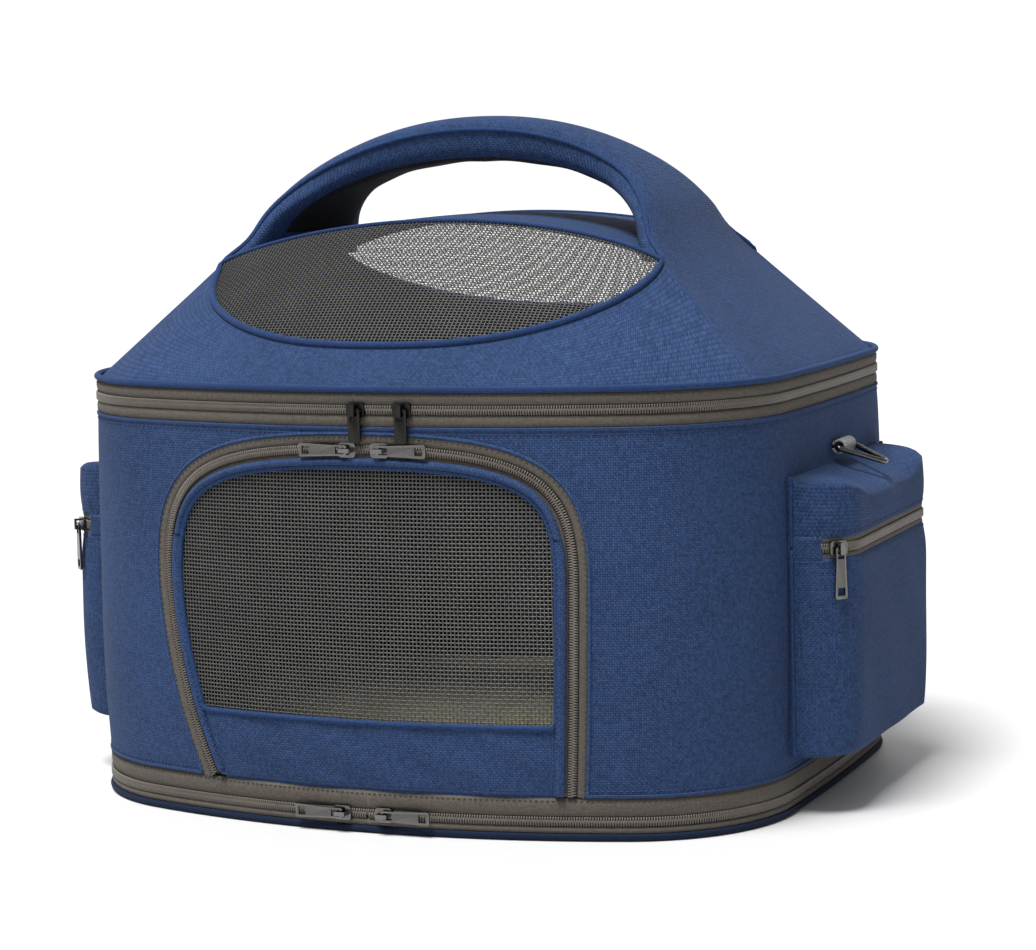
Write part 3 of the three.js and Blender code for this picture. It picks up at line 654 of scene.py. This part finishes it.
def wall_sheet(name, off, material, hole, thickness, z0, z1, front):
    """A sheet of the wall all round, without the door's opening; front is False for the inside."""
    columns = int(ROUND / 3)
    s = np.arange(columns) * ROUND / columns
    z = np.linspace(z0, z1, 70)
    S, Z = np.meshgrid(s, z)
    P = wall_point(S, Z, off)
    middle_s = S + ROUND / columns / 2
    middle = np.stack([(middle_s + ROUND / 2) % ROUND - ROUND / 2, Z + (z[1] - z[0]) / 2], -1)[:-1]
    outline = np.concatenate([hole, [[hole[-1, 0], z0 - 30], [hole[0, 0], z0 - 30]]])
    keep = ~inside(middle, outline)
    obj = grid_object(name, P, np.stack([S, Z], -1), material, keep=keep, closed=True)
    face_away(obj)
    if not front:
        obj.data.flip_normals()
    return thicken(obj, thickness)


def make_wall():
    hole = door_line(-TAPE_W + 2.5)
    wall = wall_sheet("wall_cloth", 0.0, BLUE, hole, 3.4, WALL_Z0 - 0.6, WALL_Z1 + 0.6, True)
    done(wall, "body", "fabric", "outer_wall")
    lining = wall_sheet("wall_lining", -4.6, SHADED_LINING, hole, 0.8, WALL_Z0 - 8, WALL_Z1 + 8, False)
    done(lining, "body", "lining", "inner_lining")


def band(name, zip_z, low, high, low_body, high_body, low_node, high_node):
    """A zip all round the bag: two tapes, the coil's halves, the strips of painted shade in the slots and the
    stitching.
    """
    ring = np.concatenate([ring_line(zip_z), [[ROUND, zip_z]]])
    edge = COIL_HALF + 0.2
    lower = ("low", low_body, low_node, low - zip_z, -edge)
    upper = ("high", high_body, high_node, edge, high - zip_z)
    for part, body, node, a, b in (lower, upper):
        tape = strip(f"{name}_tape_{part}", ring, a, b, TAPE, wall_point, -0.5, crown=1.0)
        done(tape, body, "tape", node)
    for part, body, a, b in (("low", low_body, -4.2, -0.2), ("high", high_body, 0.2, 4.2)):
        zip_half(f"{name}_bed_{part}", f"{name}_coil_{part}", ring, a, b, wall_point, -1.1, -0.3, body)
    for part, body, a in (("low", low_body, low - zip_z + 1.6), ("high", high_body, high - zip_z - 1.6)):
        stitches(f"{name}_sewing_{part}", ring, a, wall_point, 0.15, body, "tape", 3.2)


def ring_tube(name, z, off, radius, body, node, material):
    s = np.arange(0, ROUND, 3.0)
    P = wall_point(s, z, off)
    done(tube(name, P, radius, material, closed=True), body, "piping", node)


def make_bands():
    band("base_zip", BASE_ZIP_Z, 4.2, WALL_Z0 - 0.6, "base", "body", "base_tape", "body_base_tape")
    band("lid_zip", LID_ZIP_Z, WALL_Z1 + 0.6, LID_Z, "body", "lid", "body_lid_tape", "lid_tape")
    # The bottom piping's colour carries painted shade along the bag's foot.
    ring_tube("base_edge_piping", 2.3, -0.2, 1.9, "base", "base_piping", SHADED_BINDING)
    ring_tube("lid_edge_piping", LID_Z + 2.0, -0.3, 2.0, "lid", "lid_piping", PIPING)
    for word, z, inset in (("top", WALL_Z1, -1), ("foot", WALL_Z0, 1)):
        whole, start, end = outside_door(z)
        fold_line = ring_line(z + 0.5 * inset, start, end)
        fold = wall_point(*fold_line.T, -0.15)
        done(tube(f"wall_{word}_fold", fold, 1.1, BLUE, closed=whole), "body", "fabric")
        line = ring_line(z + 3.4 * inset, start, end)
        stitches(f"wall_{word}_sewing", line, 0, wall_point, 0.1, "body", "fabric")
    edge = door_line(-TAPE_W - 0.9)
    fold = tube("door_frame_fold", wall_point(*edge.T, -0.1), 1.1, BLUE)
    done(fold, "body", "fabric")


def outside_door(z):
    """Whether the wall is whole all round at height z, and its first and last arc length there."""
    hole = door_line(-TAPE_W)
    if z > hole[:, 1].max():
        return True, 0.0, ROUND
    third = len(hole) // 3
    left = np.interp(z, hole[:third, 1], hole[:third, 0])
    right = np.interp(z, hole[:-third:-1, 1], hole[:-third:-1, 0])
    return False, right + 1, ROUND + left - 1


# ---- base ----
EDGE_FROM = 0.97
QUILT = 80


def plan_sheet(name, off, z, height, material, dome=0.0, quilt=0.0):
    """A slab in the bag's plan with a rounded edge; dome crowns it and quilt sinks its seams."""
    x, y = rim(np.arange(0, ROUND, 6.0), off)
    edge = min(height / 2, 6.0)
    top, bottom = [], []
    for f in np.linspace(0, 1, 26):
        X, Y = x * max(f, 0.002), y * max(f, 0.002)
        fall = edge * (1 - math.sqrt(1 - max(0.0, (f - EDGE_FROM) / (1 - EDGE_FROM)) ** 2))
        seams = sum(np.exp(-(((np.mod(a + QUILT / 2, QUILT) - QUILT / 2) / 5) ** 2)) for a in (X, Y))
        crown = dome * (1 - f**4) - quilt * seams * (f < EDGE_FROM)
        top.append(np.stack([X, Y, z + height - fall + crown], -1))
        bottom.append(np.stack([X, Y, np.full_like(X, z + fall)], -1))
    P = np.array(top + bottom[::-1])
    rows, columns = P.shape[:2]
    faces = grid_faces(rows, columns, True).tolist()
    faces += [list(range(columns)), list(range((rows - 1) * columns, rows * columns))]
    return face_out(new_object(name, P, faces, material, P[..., :2]))


def make_base():
    under = plan_sheet("base_cloth", 1.6, 0.0, 3.4, BLUE)
    done(under, "base", "fabric", "base_panel")
    board = plan_sheet("base_board_sheet", 6.5, 3.8, 2.5, BOARD)
    done(board, "base", "board", "base_board")
    low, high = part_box("floor_pad")
    pad = plan_sheet("floor_cushion", 9, low.z / MM, (high.z - low.z) / MM - 1.5, PAD, dome=1.5, quilt=2.5)
    done(pad, "base", "pad", "floor_pad")


# ---- woven mesh ----
YARN_THICK = 0.16


def net(name, surface, lift, along_x, along_y, is_inside, yarn):
    """Open plain weave. surface(x, y, lift) maps flat millimetres to space."""
    points, faces = [], []
    for axis, lines, steps in ((0, along_x, along_y), (1, along_y, along_x)):
        for i, fixed in enumerate(lines):
            run = np.stack([np.full_like(steps, fixed), steps], -1)
            if axis:
                run = run[:, ::-1]
            ups = np.where((np.arange(len(steps)) + i + axis) % 2 == 0, 1.0, -1.0) * lift
            ends = np.flatnonzero(np.diff(np.concatenate([[0], is_inside(run), [0]])))
            for a, b in zip(ends[::2], ends[1::2]):
                if b - a > 1:
                    add_yarn(points, faces, run[a:b], ups[a:b], axis, yarn, surface)
    return new_object(name, np.concatenate(points), np.concatenate(faces).tolist(), NET)


def add_yarn(points, faces, run, ups, axis, yarn, surface):
    """A flat yarn of four-sided section along one run of a net."""
    side = np.array([1.0, 0.0]) if axis == 0 else np.array([0.0, 1.0])
    ring = []
    for a, up in ((-yarn, 0), (0, YARN_THICK), (yarn, 0), (0, -YARN_THICK)):
        p = run + a * side
        ring.append(surface(*p.T, ups + up))
    base = sum(len(p) for p in points)
    points.append(np.stack(ring, 1).reshape(-1, 3))
    faces.append(grid_faces(len(run), 4, True) + base)


def make_door():
    line = door_line(0.0)
    tape = strip("door_tape_band", line, -DOOR_TAPE_W - 3.5, -COIL_HALF - 0.2, TAPE, wall_point, -0.3)
    done(tape, "door", "tape", "door_tape")
    outer = strip("door_frame_band", line, COIL_HALF + 0.2, TAPE_W + 0.5, TAPE, wall_point, -0.1, crown=0.6)
    done(outer, "body", "tape", "door_frame_tape")
    for part, body, sign in (("door", "door", -1), ("frame", "body", 1)):
        names = f"door_zip_bed_{part}", f"door_coil_{part}"
        zip_half(*names, line, 0.15 * sign, 4.0 * sign, wall_point, -0.7, 0.1, body)
    stitches("door_frame_sewing", line, 7.0, wall_point, 0.5, "body", "tape", 3.2)
    bound = door_line(DOOR_TAPE_W + 2.9)
    edge = wall_point(*bound.T, 0.6)
    done(tube("door_bound_edge", edge, 3.1, BLUE, sides=14, flat=0.75), "door", "fabric")
    stitches("door_edge_sewing", bound, -2.4, wall_point, 2.1, "door", "fabric", 3.0)
    make_door_foot()
    window = window_outline()
    piping = wall_point(*window.T, 0.7)
    done(tube("door_window_piping", piping, 1.5, PIPING, closed=True), "door", "piping", "door_piping")
    xs = np.arange(-130.0, 130.0, 2.25)
    ys = np.arange(60.0, 222.0, 2.25)
    mesh = net("door_net", wall_point, 0.17, xs, ys, lambda run: inside(run, window), 0.42)
    done(mesh, "door", "mesh", "door_mesh")


def window_outline():
    """Closed line round the door's mesh."""
    side = door_line(DOOR_TAPE_W + 5.8)
    side = side[side[:, 1] > WINDOW_Z0 + 4]
    corner = 4.0
    left, right = side[0, 0] + corner, side[-1, 0] - corner
    turn = np.linspace(0, PI / 2, 6)[1:-1]
    low = WINDOW_Z0 + corner
    low_right = [(right + corner * math.cos(t), low - corner * math.sin(t)) for t in turn]
    low_left = [(left - corner * math.sin(t), low - corner * math.cos(t)) for t in turn]
    foot = [(s, WINDOW_Z0) for s in np.arange(right, left, -3.0)]
    return np.concatenate([side, low_right, foot, low_left])


def make_door_foot():
    """The door's cloth below its window."""
    line = door_line(DOOR_TAPE_W + 1.5, 1.0)
    half = len(line) // 2
    z = np.linspace(DOOR_FOOT_Z + 0.8, WINDOW_Z0 + 1.0, 16)
    left = np.interp(z, line[:half, 1], line[:half, 0])
    right = np.interp(z, line[:half:-1, 1], line[:half:-1, 0])
    share = np.linspace(0, 1, 90)
    S = left[:, None] + (right - left)[:, None] * share[None]
    Z = np.broadcast_to(z[:, None], S.shape)
    lift = 0.4 + 0.9 * np.sin(PI * np.linspace(0, 1, 16))[:, None] + 0.35 * np.sin(0.11 * S + 0.2 * Z)
    obj = grid_object("door_foot_cloth", wall_point(S, Z, lift), np.stack([S, Z], -1), BLUE)
    done(thicken(face_away(obj), 2.2), "door", "fabric", "door_panel")


# ---- lid ----
SLOPE_LEN = 158.0


def lid_side(side):
    """Front (side 1) or back (side -1) slope: cloth, net, and the binding round the net."""
    word = "front" if side > 0 else "back"
    flip = (1, side, 1)
    u = np.linspace(-1, 1, 130)
    share = np.linspace(0, 1, 30)[:, None]
    V = (lens_foot(u) - 0.012)[None] * share
    U = np.broadcast_to(u[None], V.shape)
    P = slope_point(U, V)
    crease = (0.5 * np.sin(9 * U + 3 * V) + 0.35 * np.sin(23 * U - 7 * V)) * np.sin(PI * share)
    P[..., 1] -= 0.6 * crease
    P[..., 2] += 0.8 * crease
    obj = grid_object(f"lid_{word}_cloth", P * flip, sheet_uv(P), BLUE)
    done(thicken(face_away(obj), 2.6), "lid", "fabric", f"lid_{word}_panel")
    u = np.linspace(-0.998, 0.998, 170)
    low = slope_point(u, lens_foot(u), -0.6) * flip
    slim = 0.7 + 1.7 * (1 - np.abs(u) ** 10) ** 0.5
    binding = tube(f"lid_{word}_binding", low, slim, PIPING, sides=12)
    done(binding, "lid", "piping", f"{word}_window_piping")
    top = slope_point(u, 0.995, -0.3) * flip
    done(tube(f"lid_{word}_top_binding", top, 1.3, PIPING), "lid", "piping")
    table = np.linspace(-1, 1, 400)
    foot_x, head_x = (slope_point(table, v)[:, 0] for v in (0.0, 1.0))

    def u_at(x, v):
        """The slope's u where x lies on it at each height v."""
        return np.array([np.interp(a, foot_x + (head_x - foot_x) * b, table) for a, b in zip(x, v)])

    def place(x, w, lift):
        v = w / SLOPE_LEN
        out = slope_point(u_at(x, v), v)
        out[:, 1] -= 0.55 * lift
        out[:, 2] += 0.83 * lift
        return out * flip

    def in_lens(run):
        v = run[:, 1] / SLOPE_LEN
        at = u_at(run[:, 0], v)
        return (v < 0.995) & (v > lens_foot(at)) & (np.abs(at) < 0.998)

    xs = np.arange(-160.0, 160.0, 2.4)
    ws = np.arange(0.2 * SLOPE_LEN, SLOPE_LEN, 2.4)
    done(net(f"lid_{word}_net", place, 0.18, xs, ws, in_lens, 0.43), "lid", "mesh", f"lid_{word}_mesh")


def make_roof():
    u = np.linspace(-0.97, 0.97, 90)[None]
    share = np.linspace(-1, 1, 40)[:, None]
    edge = roof_edge(u)
    rise = 1.6 * (1 - share**2) * (1 - u**2) - 0.2
    P = np.stack(np.broadcast_arrays(edge[..., 0], edge[..., 1] * share, edge[..., 2] + rise), -1)
    obj = grid_object("roof_cloth", P, P[..., :2], BLUE)
    done(thicken(face_away(obj), 2.6), "lid", "fabric", "roof_panel")


# ---- gussets and handle ----
HANDLE_OUTER = [
    (143, 82, 319), (129, 60, 352), (108, 40, 374.5), (77, 30, 391), (40, 26, 401.5), (0, 25, 405)
]
HANDLE_INNER = [
    (118, 0, 319), (112, 0, 342), (94, 0, 358), (67, 0, 369), (35, 0, 375.5), (0, 0, 377.5)
]
HANDLE_SEAM = math.radians(13)
STATIONS = 46
HANDLE_COLUMNS = 61
GRIP_FROM = 6
FAR_ABOVE = (0, 0, 10000)


def both_sides(P):
    """The handle's right half, then its mirror image from the top down."""
    return np.concatenate([P, P[-2::-1] * (-1, 1, 1)])


def smooth_line(points, count):
    """Centripetal Catmull-Rom curve through points, mirrored past its end so that it is level there."""
    run = both_sides(np.array(points, float))
    chord = np.concatenate([[0], np.cumsum(np.linalg.norm(np.diff(run, axis=0), axis=1) ** 0.5)])
    tangent = np.gradient(run, chord, axis=0)
    out = []
    for t in np.linspace(0, chord[-1], 2 * count - 1)[:count]:
        i = min(np.searchsorted(chord, t, side="right") - 1, len(chord) - 2)
        h = chord[i + 1] - chord[i]
        f = (t - chord[i]) / h
        a = 2 * f**3 - 3 * f**2 + 1
        level = a * run[i] + (1 - a) * run[i + 1]
        out.append(level + (f**3 - 2 * f**2 + f) * h * tangent[i] + (f**3 - f**2) * h * tangent[i + 1])
    return np.array(out)


def handle_point(outer, inner, angle, grow=0.0):
    """Section of the padded handle, boxy in the arch and pointed at its feet; 90 degrees is its top."""
    foot = np.clip((370 - outer[..., 2]) / 50, 0, 1)
    power = 0.6 + 0.45 * foot**1.3
    c, s = (np.sign(a) * np.abs(a) ** power for a in (np.cos(angle), np.sin(angle)))
    middle = (outer + inner) / 2
    half = (outer - inner) / 2
    out = np.empty(angle.shape + (3,))
    out[..., 0] = middle[..., 0] + half[..., 0] * s
    out[..., 2] = middle[..., 2] + half[..., 2] * s
    out[..., 1] = -(outer[..., 1] + grow) * c
    return out


def relax(P, rows, times, weight):
    """Softens some rows of a grid, each column by its weight."""
    for _ in range(times):
        Q = P.copy()
        Q[rows] += weight[None, :, None] * (0.25 * (P[rows - 1] + P[rows + 1]) - 0.5 * P[rows])
        P = Q
    return P


def make_handle():
    """Gussets and handle top are one long cloth; its underside is a second one."""
    outer = smooth_line(HANDLE_OUTER, STATIONS)
    inner = smooth_line(HANDLE_INNER, STATIONS)

    def section(angles, grow=0.0, first=0):
        angle = np.broadcast_to(angles, (STATIONS - first, len(angles)))
        return handle_point(outer[first:, None], inner[first:, None], angle, grow)

    top = section(np.linspace(HANDLE_SEAM, PI - HANDLE_SEAM, HANDLE_COLUMNS))
    w = np.linspace(-1, 1, HANDLE_COLUMNS)
    flare = np.where(w[:, None] < 0, ROOF_CORNER - top[0, 0], ROOF_CORNER * (1, -1, 1) - top[0, -1])
    fade = np.exp(-((np.arange(STATIONS) / 3.0) ** 2))
    flare = (flare * w[:, None] ** 4)[None] * fade[:, None, None]
    top = top + flare
    x, y = rim(QUARTER - (1 - SEAM_AT) * QUARTER * np.abs(w), DOME_OFF)
    foot = np.stack([x, y * -np.sign(w), np.full_like(w, LID_Z + 0.3)], -1)
    rows = 26
    share = np.linspace(0, 1, rows, endpoint=False)[:, None, None]
    gusset = foot[None] + (top[0] - foot)[None] * share
    belly = 2.0 * np.sin(PI * share[..., 0]) * (1 - w[None] ** 2)
    gusset[..., 0] += 0.7 * belly
    gusset[..., 2] += 0.7 * belly
    right = relax(np.concatenate([gusset, top]), np.arange(rows - 8, rows + 9), 60, 1 - np.abs(w) ** 6)
    whole = both_sides(right)
    obj = grid_object("gusset_handle_cloth", whole, sheet_uv(whole), BLUE)
    done(thicken(face_away(obj), 1.8), "lid", "fabric", "handle_cover", "right_gusset", "left_gusset")
    for column, word, flip in ((0, "front", 1), (-1, "back", -1)):
        done(tube(f"handle_{word}_piping", whole[rows:-rows, column], 1.5, PIPING), "lid", "piping")
        for end in (-1, 1):
            groove = slope_point(end, np.linspace(0, 1, 30), 0.8) * (1, flip, 1)
            done(tube(f"gusset_{word}_seam", groove, 1.0, PIPING), "lid", "piping")
    under = np.linspace(PI - HANDLE_SEAM + 0.02, 2 * PI + HANDLE_SEAM - 0.02, HANDLE_COLUMNS)
    low = both_sides(section(under, -0.6) + flare[:, ::-1])
    obj = grid_object("handle_under_cloth", low, sheet_uv(low), BLUE)
    done(thicken(face_away(obj, FAR_ABOVE), 1.2), "lid", "fabric", "handle_core")
    # Painted shade: a near-black sheet along the handle's underside, where shade falls.
    low = section(np.linspace(math.radians(228), math.radians(312), 21), -0.3, GRIP_FROM)
    low[..., 2] -= 0.35 + 0.3 * np.sin(0.5 * np.arange(STATIONS - GRIP_FROM))[:, None]
    low = both_sides(low)
    obj = grid_object("handle_underside_shade", low, sheet_uv(low), SHADED_LINING)
    done(thicken(face_away(obj, FAR_ABOVE), 0.8), "lid", "lining")


# ---- side pockets ----
POCKET_X = HALF_WIDTH + 0.5
POCKET_DEPTH = side_of("right_pocket_box", 1, 0) - POCKET_X
POCKET_LONG = side_of("right_pocket_box", 1, 1)
POCKET_R = 28
POCKET_Z0 = side_of("right_pocket_box", 0, 2)
POCKET_ZIP_Z = side_of("right_pocket_box", 1, 2) + 0.2
POCKET_Z1 = 196
POCKET_FALL = 12
POCKET_SIDE = POCKET_DEPTH - POCKET_R
POCKET_ARC = POCKET_R * PI / 2
PATCH_END = 19.0
POCKET_RUN = 2 * (POCKET_SIDE + POCKET_ARC) + 2 * (POCKET_LONG - POCKET_R)
RING_X = POCKET_X + 5
RING_Z = 205


def pocket_plan(s, off):
    """Line round the pocket from the wall at the front to the wall at the back."""
    s, off = np.broadcast_arrays(np.asarray(s, float), off)
    near = np.minimum(s, POCKET_RUN - s)
    end = np.where(s < POCKET_RUN - s, -1.0, 1.0)
    cx, cy = POCKET_X + POCKET_SIDE, POCKET_LONG - POCKET_R
    turn = (near - POCKET_SIDE) / POCKET_R
    r = POCKET_R + off
    where = [near < POCKET_SIDE, near < POCKET_SIDE + POCKET_ARC]
    x = np.select(where, [POCKET_X + near, cx + r * np.sin(turn)], POCKET_X + POCKET_DEPTH + off)
    y = np.select(
        where,
        [end * (POCKET_LONG + off), end * (cy + r * np.cos(turn))],
        s - POCKET_SIDE - POCKET_ARC - cy,
    )
    return x, y


def pocket_point(s, z, lift=0.0):
    """Outer face of the right pocket; it swells a little and closes on the wall."""
    s, z, lift = np.broadcast_arrays(np.asarray(s, float), z, lift)
    share = np.clip((z - POCKET_Z0) / (POCKET_Z1 - POCKET_Z0), 0, 1)
    ends = np.clip(np.minimum(s, POCKET_RUN - s) / 30, 0, 1)
    ends = ends * (1 - np.exp(-(((z - POCKET_ZIP_Z) / 13) ** 2)))
    swell = 2.8 * np.sin(PI * share) ** 0.6 * ends + 0.35 * np.sin(0.09 * s + 0.06 * z) * ends
    x, y = pocket_plan(s, lift + swell - 0.6)
    return np.stack([x, y, z], -1)


def pocket_half(name, z0, z1, side, is_hood):
    """Cloth of the pocket's box with its closed bottom, or of its hood with its falling top."""
    s = np.linspace(-3, POCKET_RUN + 3, 130)
    S, Z = np.meshgrid(s, np.linspace(z0, z1, 34))
    if is_hood:
        x, y = pocket_plan(S, 0)
        drop = POCKET_FALL * np.clip((x - POCKET_X) / POCKET_DEPTH, 0, 1) * dent(y)
        Z = z0 + (Z - z0) * (z1 - drop - 3 - z0) / (z1 - z0)
    P = pocket_point(S, Z)
    edge = P[-1 if is_hood else 0]
    x0 = POCKET_X - 2
    caps = []
    for f in np.linspace(0, 1, 14)[1:]:
        ring = edge.copy()
        ring[:, 0] = x0 + (edge[:, 0] - x0) * (1 - f)
        ring[:, 1] *= 1 - 0.06 * f
        round_up = min(1, math.sqrt(f * 6))
        if is_hood:
            rise = POCKET_FALL * (edge[:, 0] - ring[:, 0]) / POCKET_DEPTH * dent(edge[:, 1])
            ring[:, 2] += 3.0 * round_up + rise
        else:
            ring[:, 2] -= 2.0 * round_up
        caps.append(ring)
    P = np.concatenate([P, caps] if is_hood else [caps[::-1], P])
    run = lengths(P[:, len(s) // 2])
    uv = np.stack(np.broadcast_arrays(s[None], run[:, None]), -1)
    obj = grid_object(name, P * (side, 1, 1), uv, BLUE)
    return thicken(face_away(obj, (side * (POCKET_X + 10), 0, 120)), 1.8)


def dent(y):
    """How far the hood's top sinks along the pocket: fully under the ring, little at its ends."""
    t = np.clip((np.abs(y) - 38) / 45, 0, 1)
    return 1 - 0.8 * t * t * (3 - 2 * t)


def make_pocket(word, side):
    hood = f"{word}_hood"

    def surface(s, z, lift=0.0):
        return pocket_point(s, z, lift) * (side, 1, 1)

    def level_line(s):
        return np.stack([s, np.full_like(s, POCKET_ZIP_Z)], -1)

    box = pocket_half(f"{word}_pocket_cloth", POCKET_Z0 + 2, POCKET_ZIP_Z - 5.6, side, False)
    done(box, "body", "fabric", f"{word}_pocket_box")
    done(pocket_half(f"{word}_hood_cloth", POCKET_ZIP_Z + 5.6, POCKET_Z1, side, True), hood, "fabric", hood)
    line = level_line(np.arange(PATCH_END - 1, POCKET_RUN - PATCH_END + 1, 2.0))
    full = level_line(np.arange(1.0, POCKET_RUN - 1, 2.0))
    for part, body, sign, node in (("low", "body", -1, "pocket_tape"), ("high", hood, 1, "hood_tape")):
        near, far = sign * (COIL_HALF + 0.3), sign * 6.4
        tape = strip(f"{word}_pocket_tape_{part}", line, near, far, TAPE, surface, -0.3)
        done(tape, body, "tape", f"{word}_{node}")
        names = f"{word}_pocket_bed_{part}", f"{word}_pocket_coil_{part}"
        zip_half(*names, line, sign * 0.15, sign * 3.4, surface, -0.8, 0.0, body)
        stitches(f"{word}_pocket_sewing_{part}", full, sign * 8.0, surface, 0.15, body, "fabric")
    for part, s0, s1 in (("near", -1.0, PATCH_END), ("far", POCKET_RUN - PATCH_END, POCKET_RUN + 1)):
        short = level_line(np.arange(s0, s1 + 0.1, 1.0))
        patch = strip(f"{word}_pocket_patch_{part}", short, -6.6, 6.6, BLUE, surface, 0.2, 0.4, 9)
        done(patch, "body", "fabric")
    for part, body, z0, z1 in (
        ("box", "body", POCKET_Z0 + 1, POCKET_ZIP_Z - 1),
        ("hood", hood, POCKET_ZIP_Z + 1, POCKET_Z1 + 1),
    ):
        for end in (-1, 1):
            z = np.linspace(z0, z1, 50)
            corner = (side * (POCKET_X + 1.2), end * (POCKET_LONG + 0.4))
            seam = np.stack(np.broadcast_arrays(*corner, z), -1)
            done(tube(f"{word}_{part}_wall_seam", seam, 1.1, PIPING), body, "piping")


# ---- metal ----
def bevelled(node, material):
    """A CAD node keeps its shape and gets rounded edges and a worked finish."""
    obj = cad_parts[node]
    obj.data.materials.clear()
    obj.data.materials.append(material)
    edge = obj.modifiers.new("edge", "BEVEL")
    edge.width = 0.35 * MM
    edge.segments = 2
    edge.limit_method = "ANGLE"
    edge.angle_limit = math.radians(35)


def make_metal():
    for side, sign in (("left", -1), ("right", 1)):
        for kind in ("lid", "door", "base"):
            for part in ("slider", "pull"):
                bevelled(f"{kind}_{part}_{side}", BLACK if kind == "lid" else GUNMETAL)
        for part in ("slider", "pull"):
            bevelled(f"{side}_pocket_{part}", GUNMETAL)
        make_webbing(side, sign)
        make_ring(side, sign)


def make_webbing(word, sign):
    """Loop of ribbed webbing round the ring's bar, its ends sewn into the wall."""
    turn = np.linspace(math.radians(-165), math.radians(165), 40)[:, None]
    y = np.linspace(-11, 11, 12)[None]
    x = RING_X + 4.4 * np.cos(turn)
    z = RING_Z + 4.4 * np.sin(turn) + 0.12 * np.sin(1.4 * y)
    P = np.stack(np.broadcast_arrays(sign * x, y, z), -1)
    obj = grid_object(f"{word}_webbing_loop", P, sheet_uv(P), WEBBING)
    loop = thicken(face_away(obj, (sign * RING_X, 0, RING_Z)), 1.3)
    done(loop, "body", "webbing", f"{word}_ring_tab")


def make_ring(word, sign):
    """Triangle ring: one bent wire, drooping over the pocket."""
    low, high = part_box(f"{word}_ring")
    wire = 1.6
    half = (high.y - low.y) / MM / 2 - wire
    reach, droop = 27, math.radians(20)
    corners = [(0, -half), (reach, -2.5), (reach, 2.5), (0, half)]
    flat = []
    for i in range(4):
        p, q, r = (np.array(corners[(i + k) % 4], float) for k in (-1, 0, 1))
        back, ahead = np.linalg.norm(q - p), np.linalg.norm(r - q)
        cut = min(3.0, back / 2.2, ahead / 2.2)
        flat += list(quadratic(q + (p - q) / back * cut, q, q + (r - q) / ahead * cut, 7))
    out, y = np.array(flat).T
    P = np.stack([sign * (RING_X + out * math.cos(droop)), y, RING_Z - out * math.sin(droop)], -1)
    ring = tube(f"{word}_triangle_ring", P, wire, GUNMETAL, closed=True, sides=14)
    done(ring, f"{word}_ring", "gunmetal", f"{word}_ring")


# ---- hinges of cloth, where a zip stops ----
def hinge_cloth(name, line, low, high, lift, crown, steps, pair, y, z0, z1):
    """A strip beside a line, its transform baked into its points; pair, z0 and z1 are not used."""
    piece = strip(name, line, low, high, BLUE, wall_point, lift, crown, steps)
    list(pair)
    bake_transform(piece)


def make_hinges():
    back = 2 * QUARTER
    for name, pair, z, low, high in (
        ("lid_hinge_cloth", ("body", "lid"), LID_ZIP_Z, -10.5, 9.5),
        ("base_hinge_cloth", ("base", "body"), BASE_ZIP_Z, -6.5, 13.0),
    ):
        line = ring_line(z, back - HINGE_HALF, back + HINGE_HALF)
        hinge_cloth(name, line, low, high, 2.2, 0.6, 17, pair, HALF_DEPTH, z - 5, z + 5)
    line = ring_line(DOOR_FOOT_Z, DOOR_FOOT_LEFT + 7, DOOR_FOOT_RIGHT - 7)
    foot = (DOOR_FOOT_Z - 3, DOOR_FOOT_Z + 4)
    hinge_cloth("door_hinge_cloth", line, -4.0, 4.0, -0.6, 0.1, 13, ("body", "door"), -HALF_DEPTH, *foot)


make_camera()
make_light()
make_floor()
make_wall()
make_bands()
make_base()
make_door()
lid_side(1)
lid_side(-1)
make_roof()
make_handle()
make_pocket("right", 1)
make_pocket("left", -1)
make_metal()
make_hinges()

bpy.context.view_layer.update()
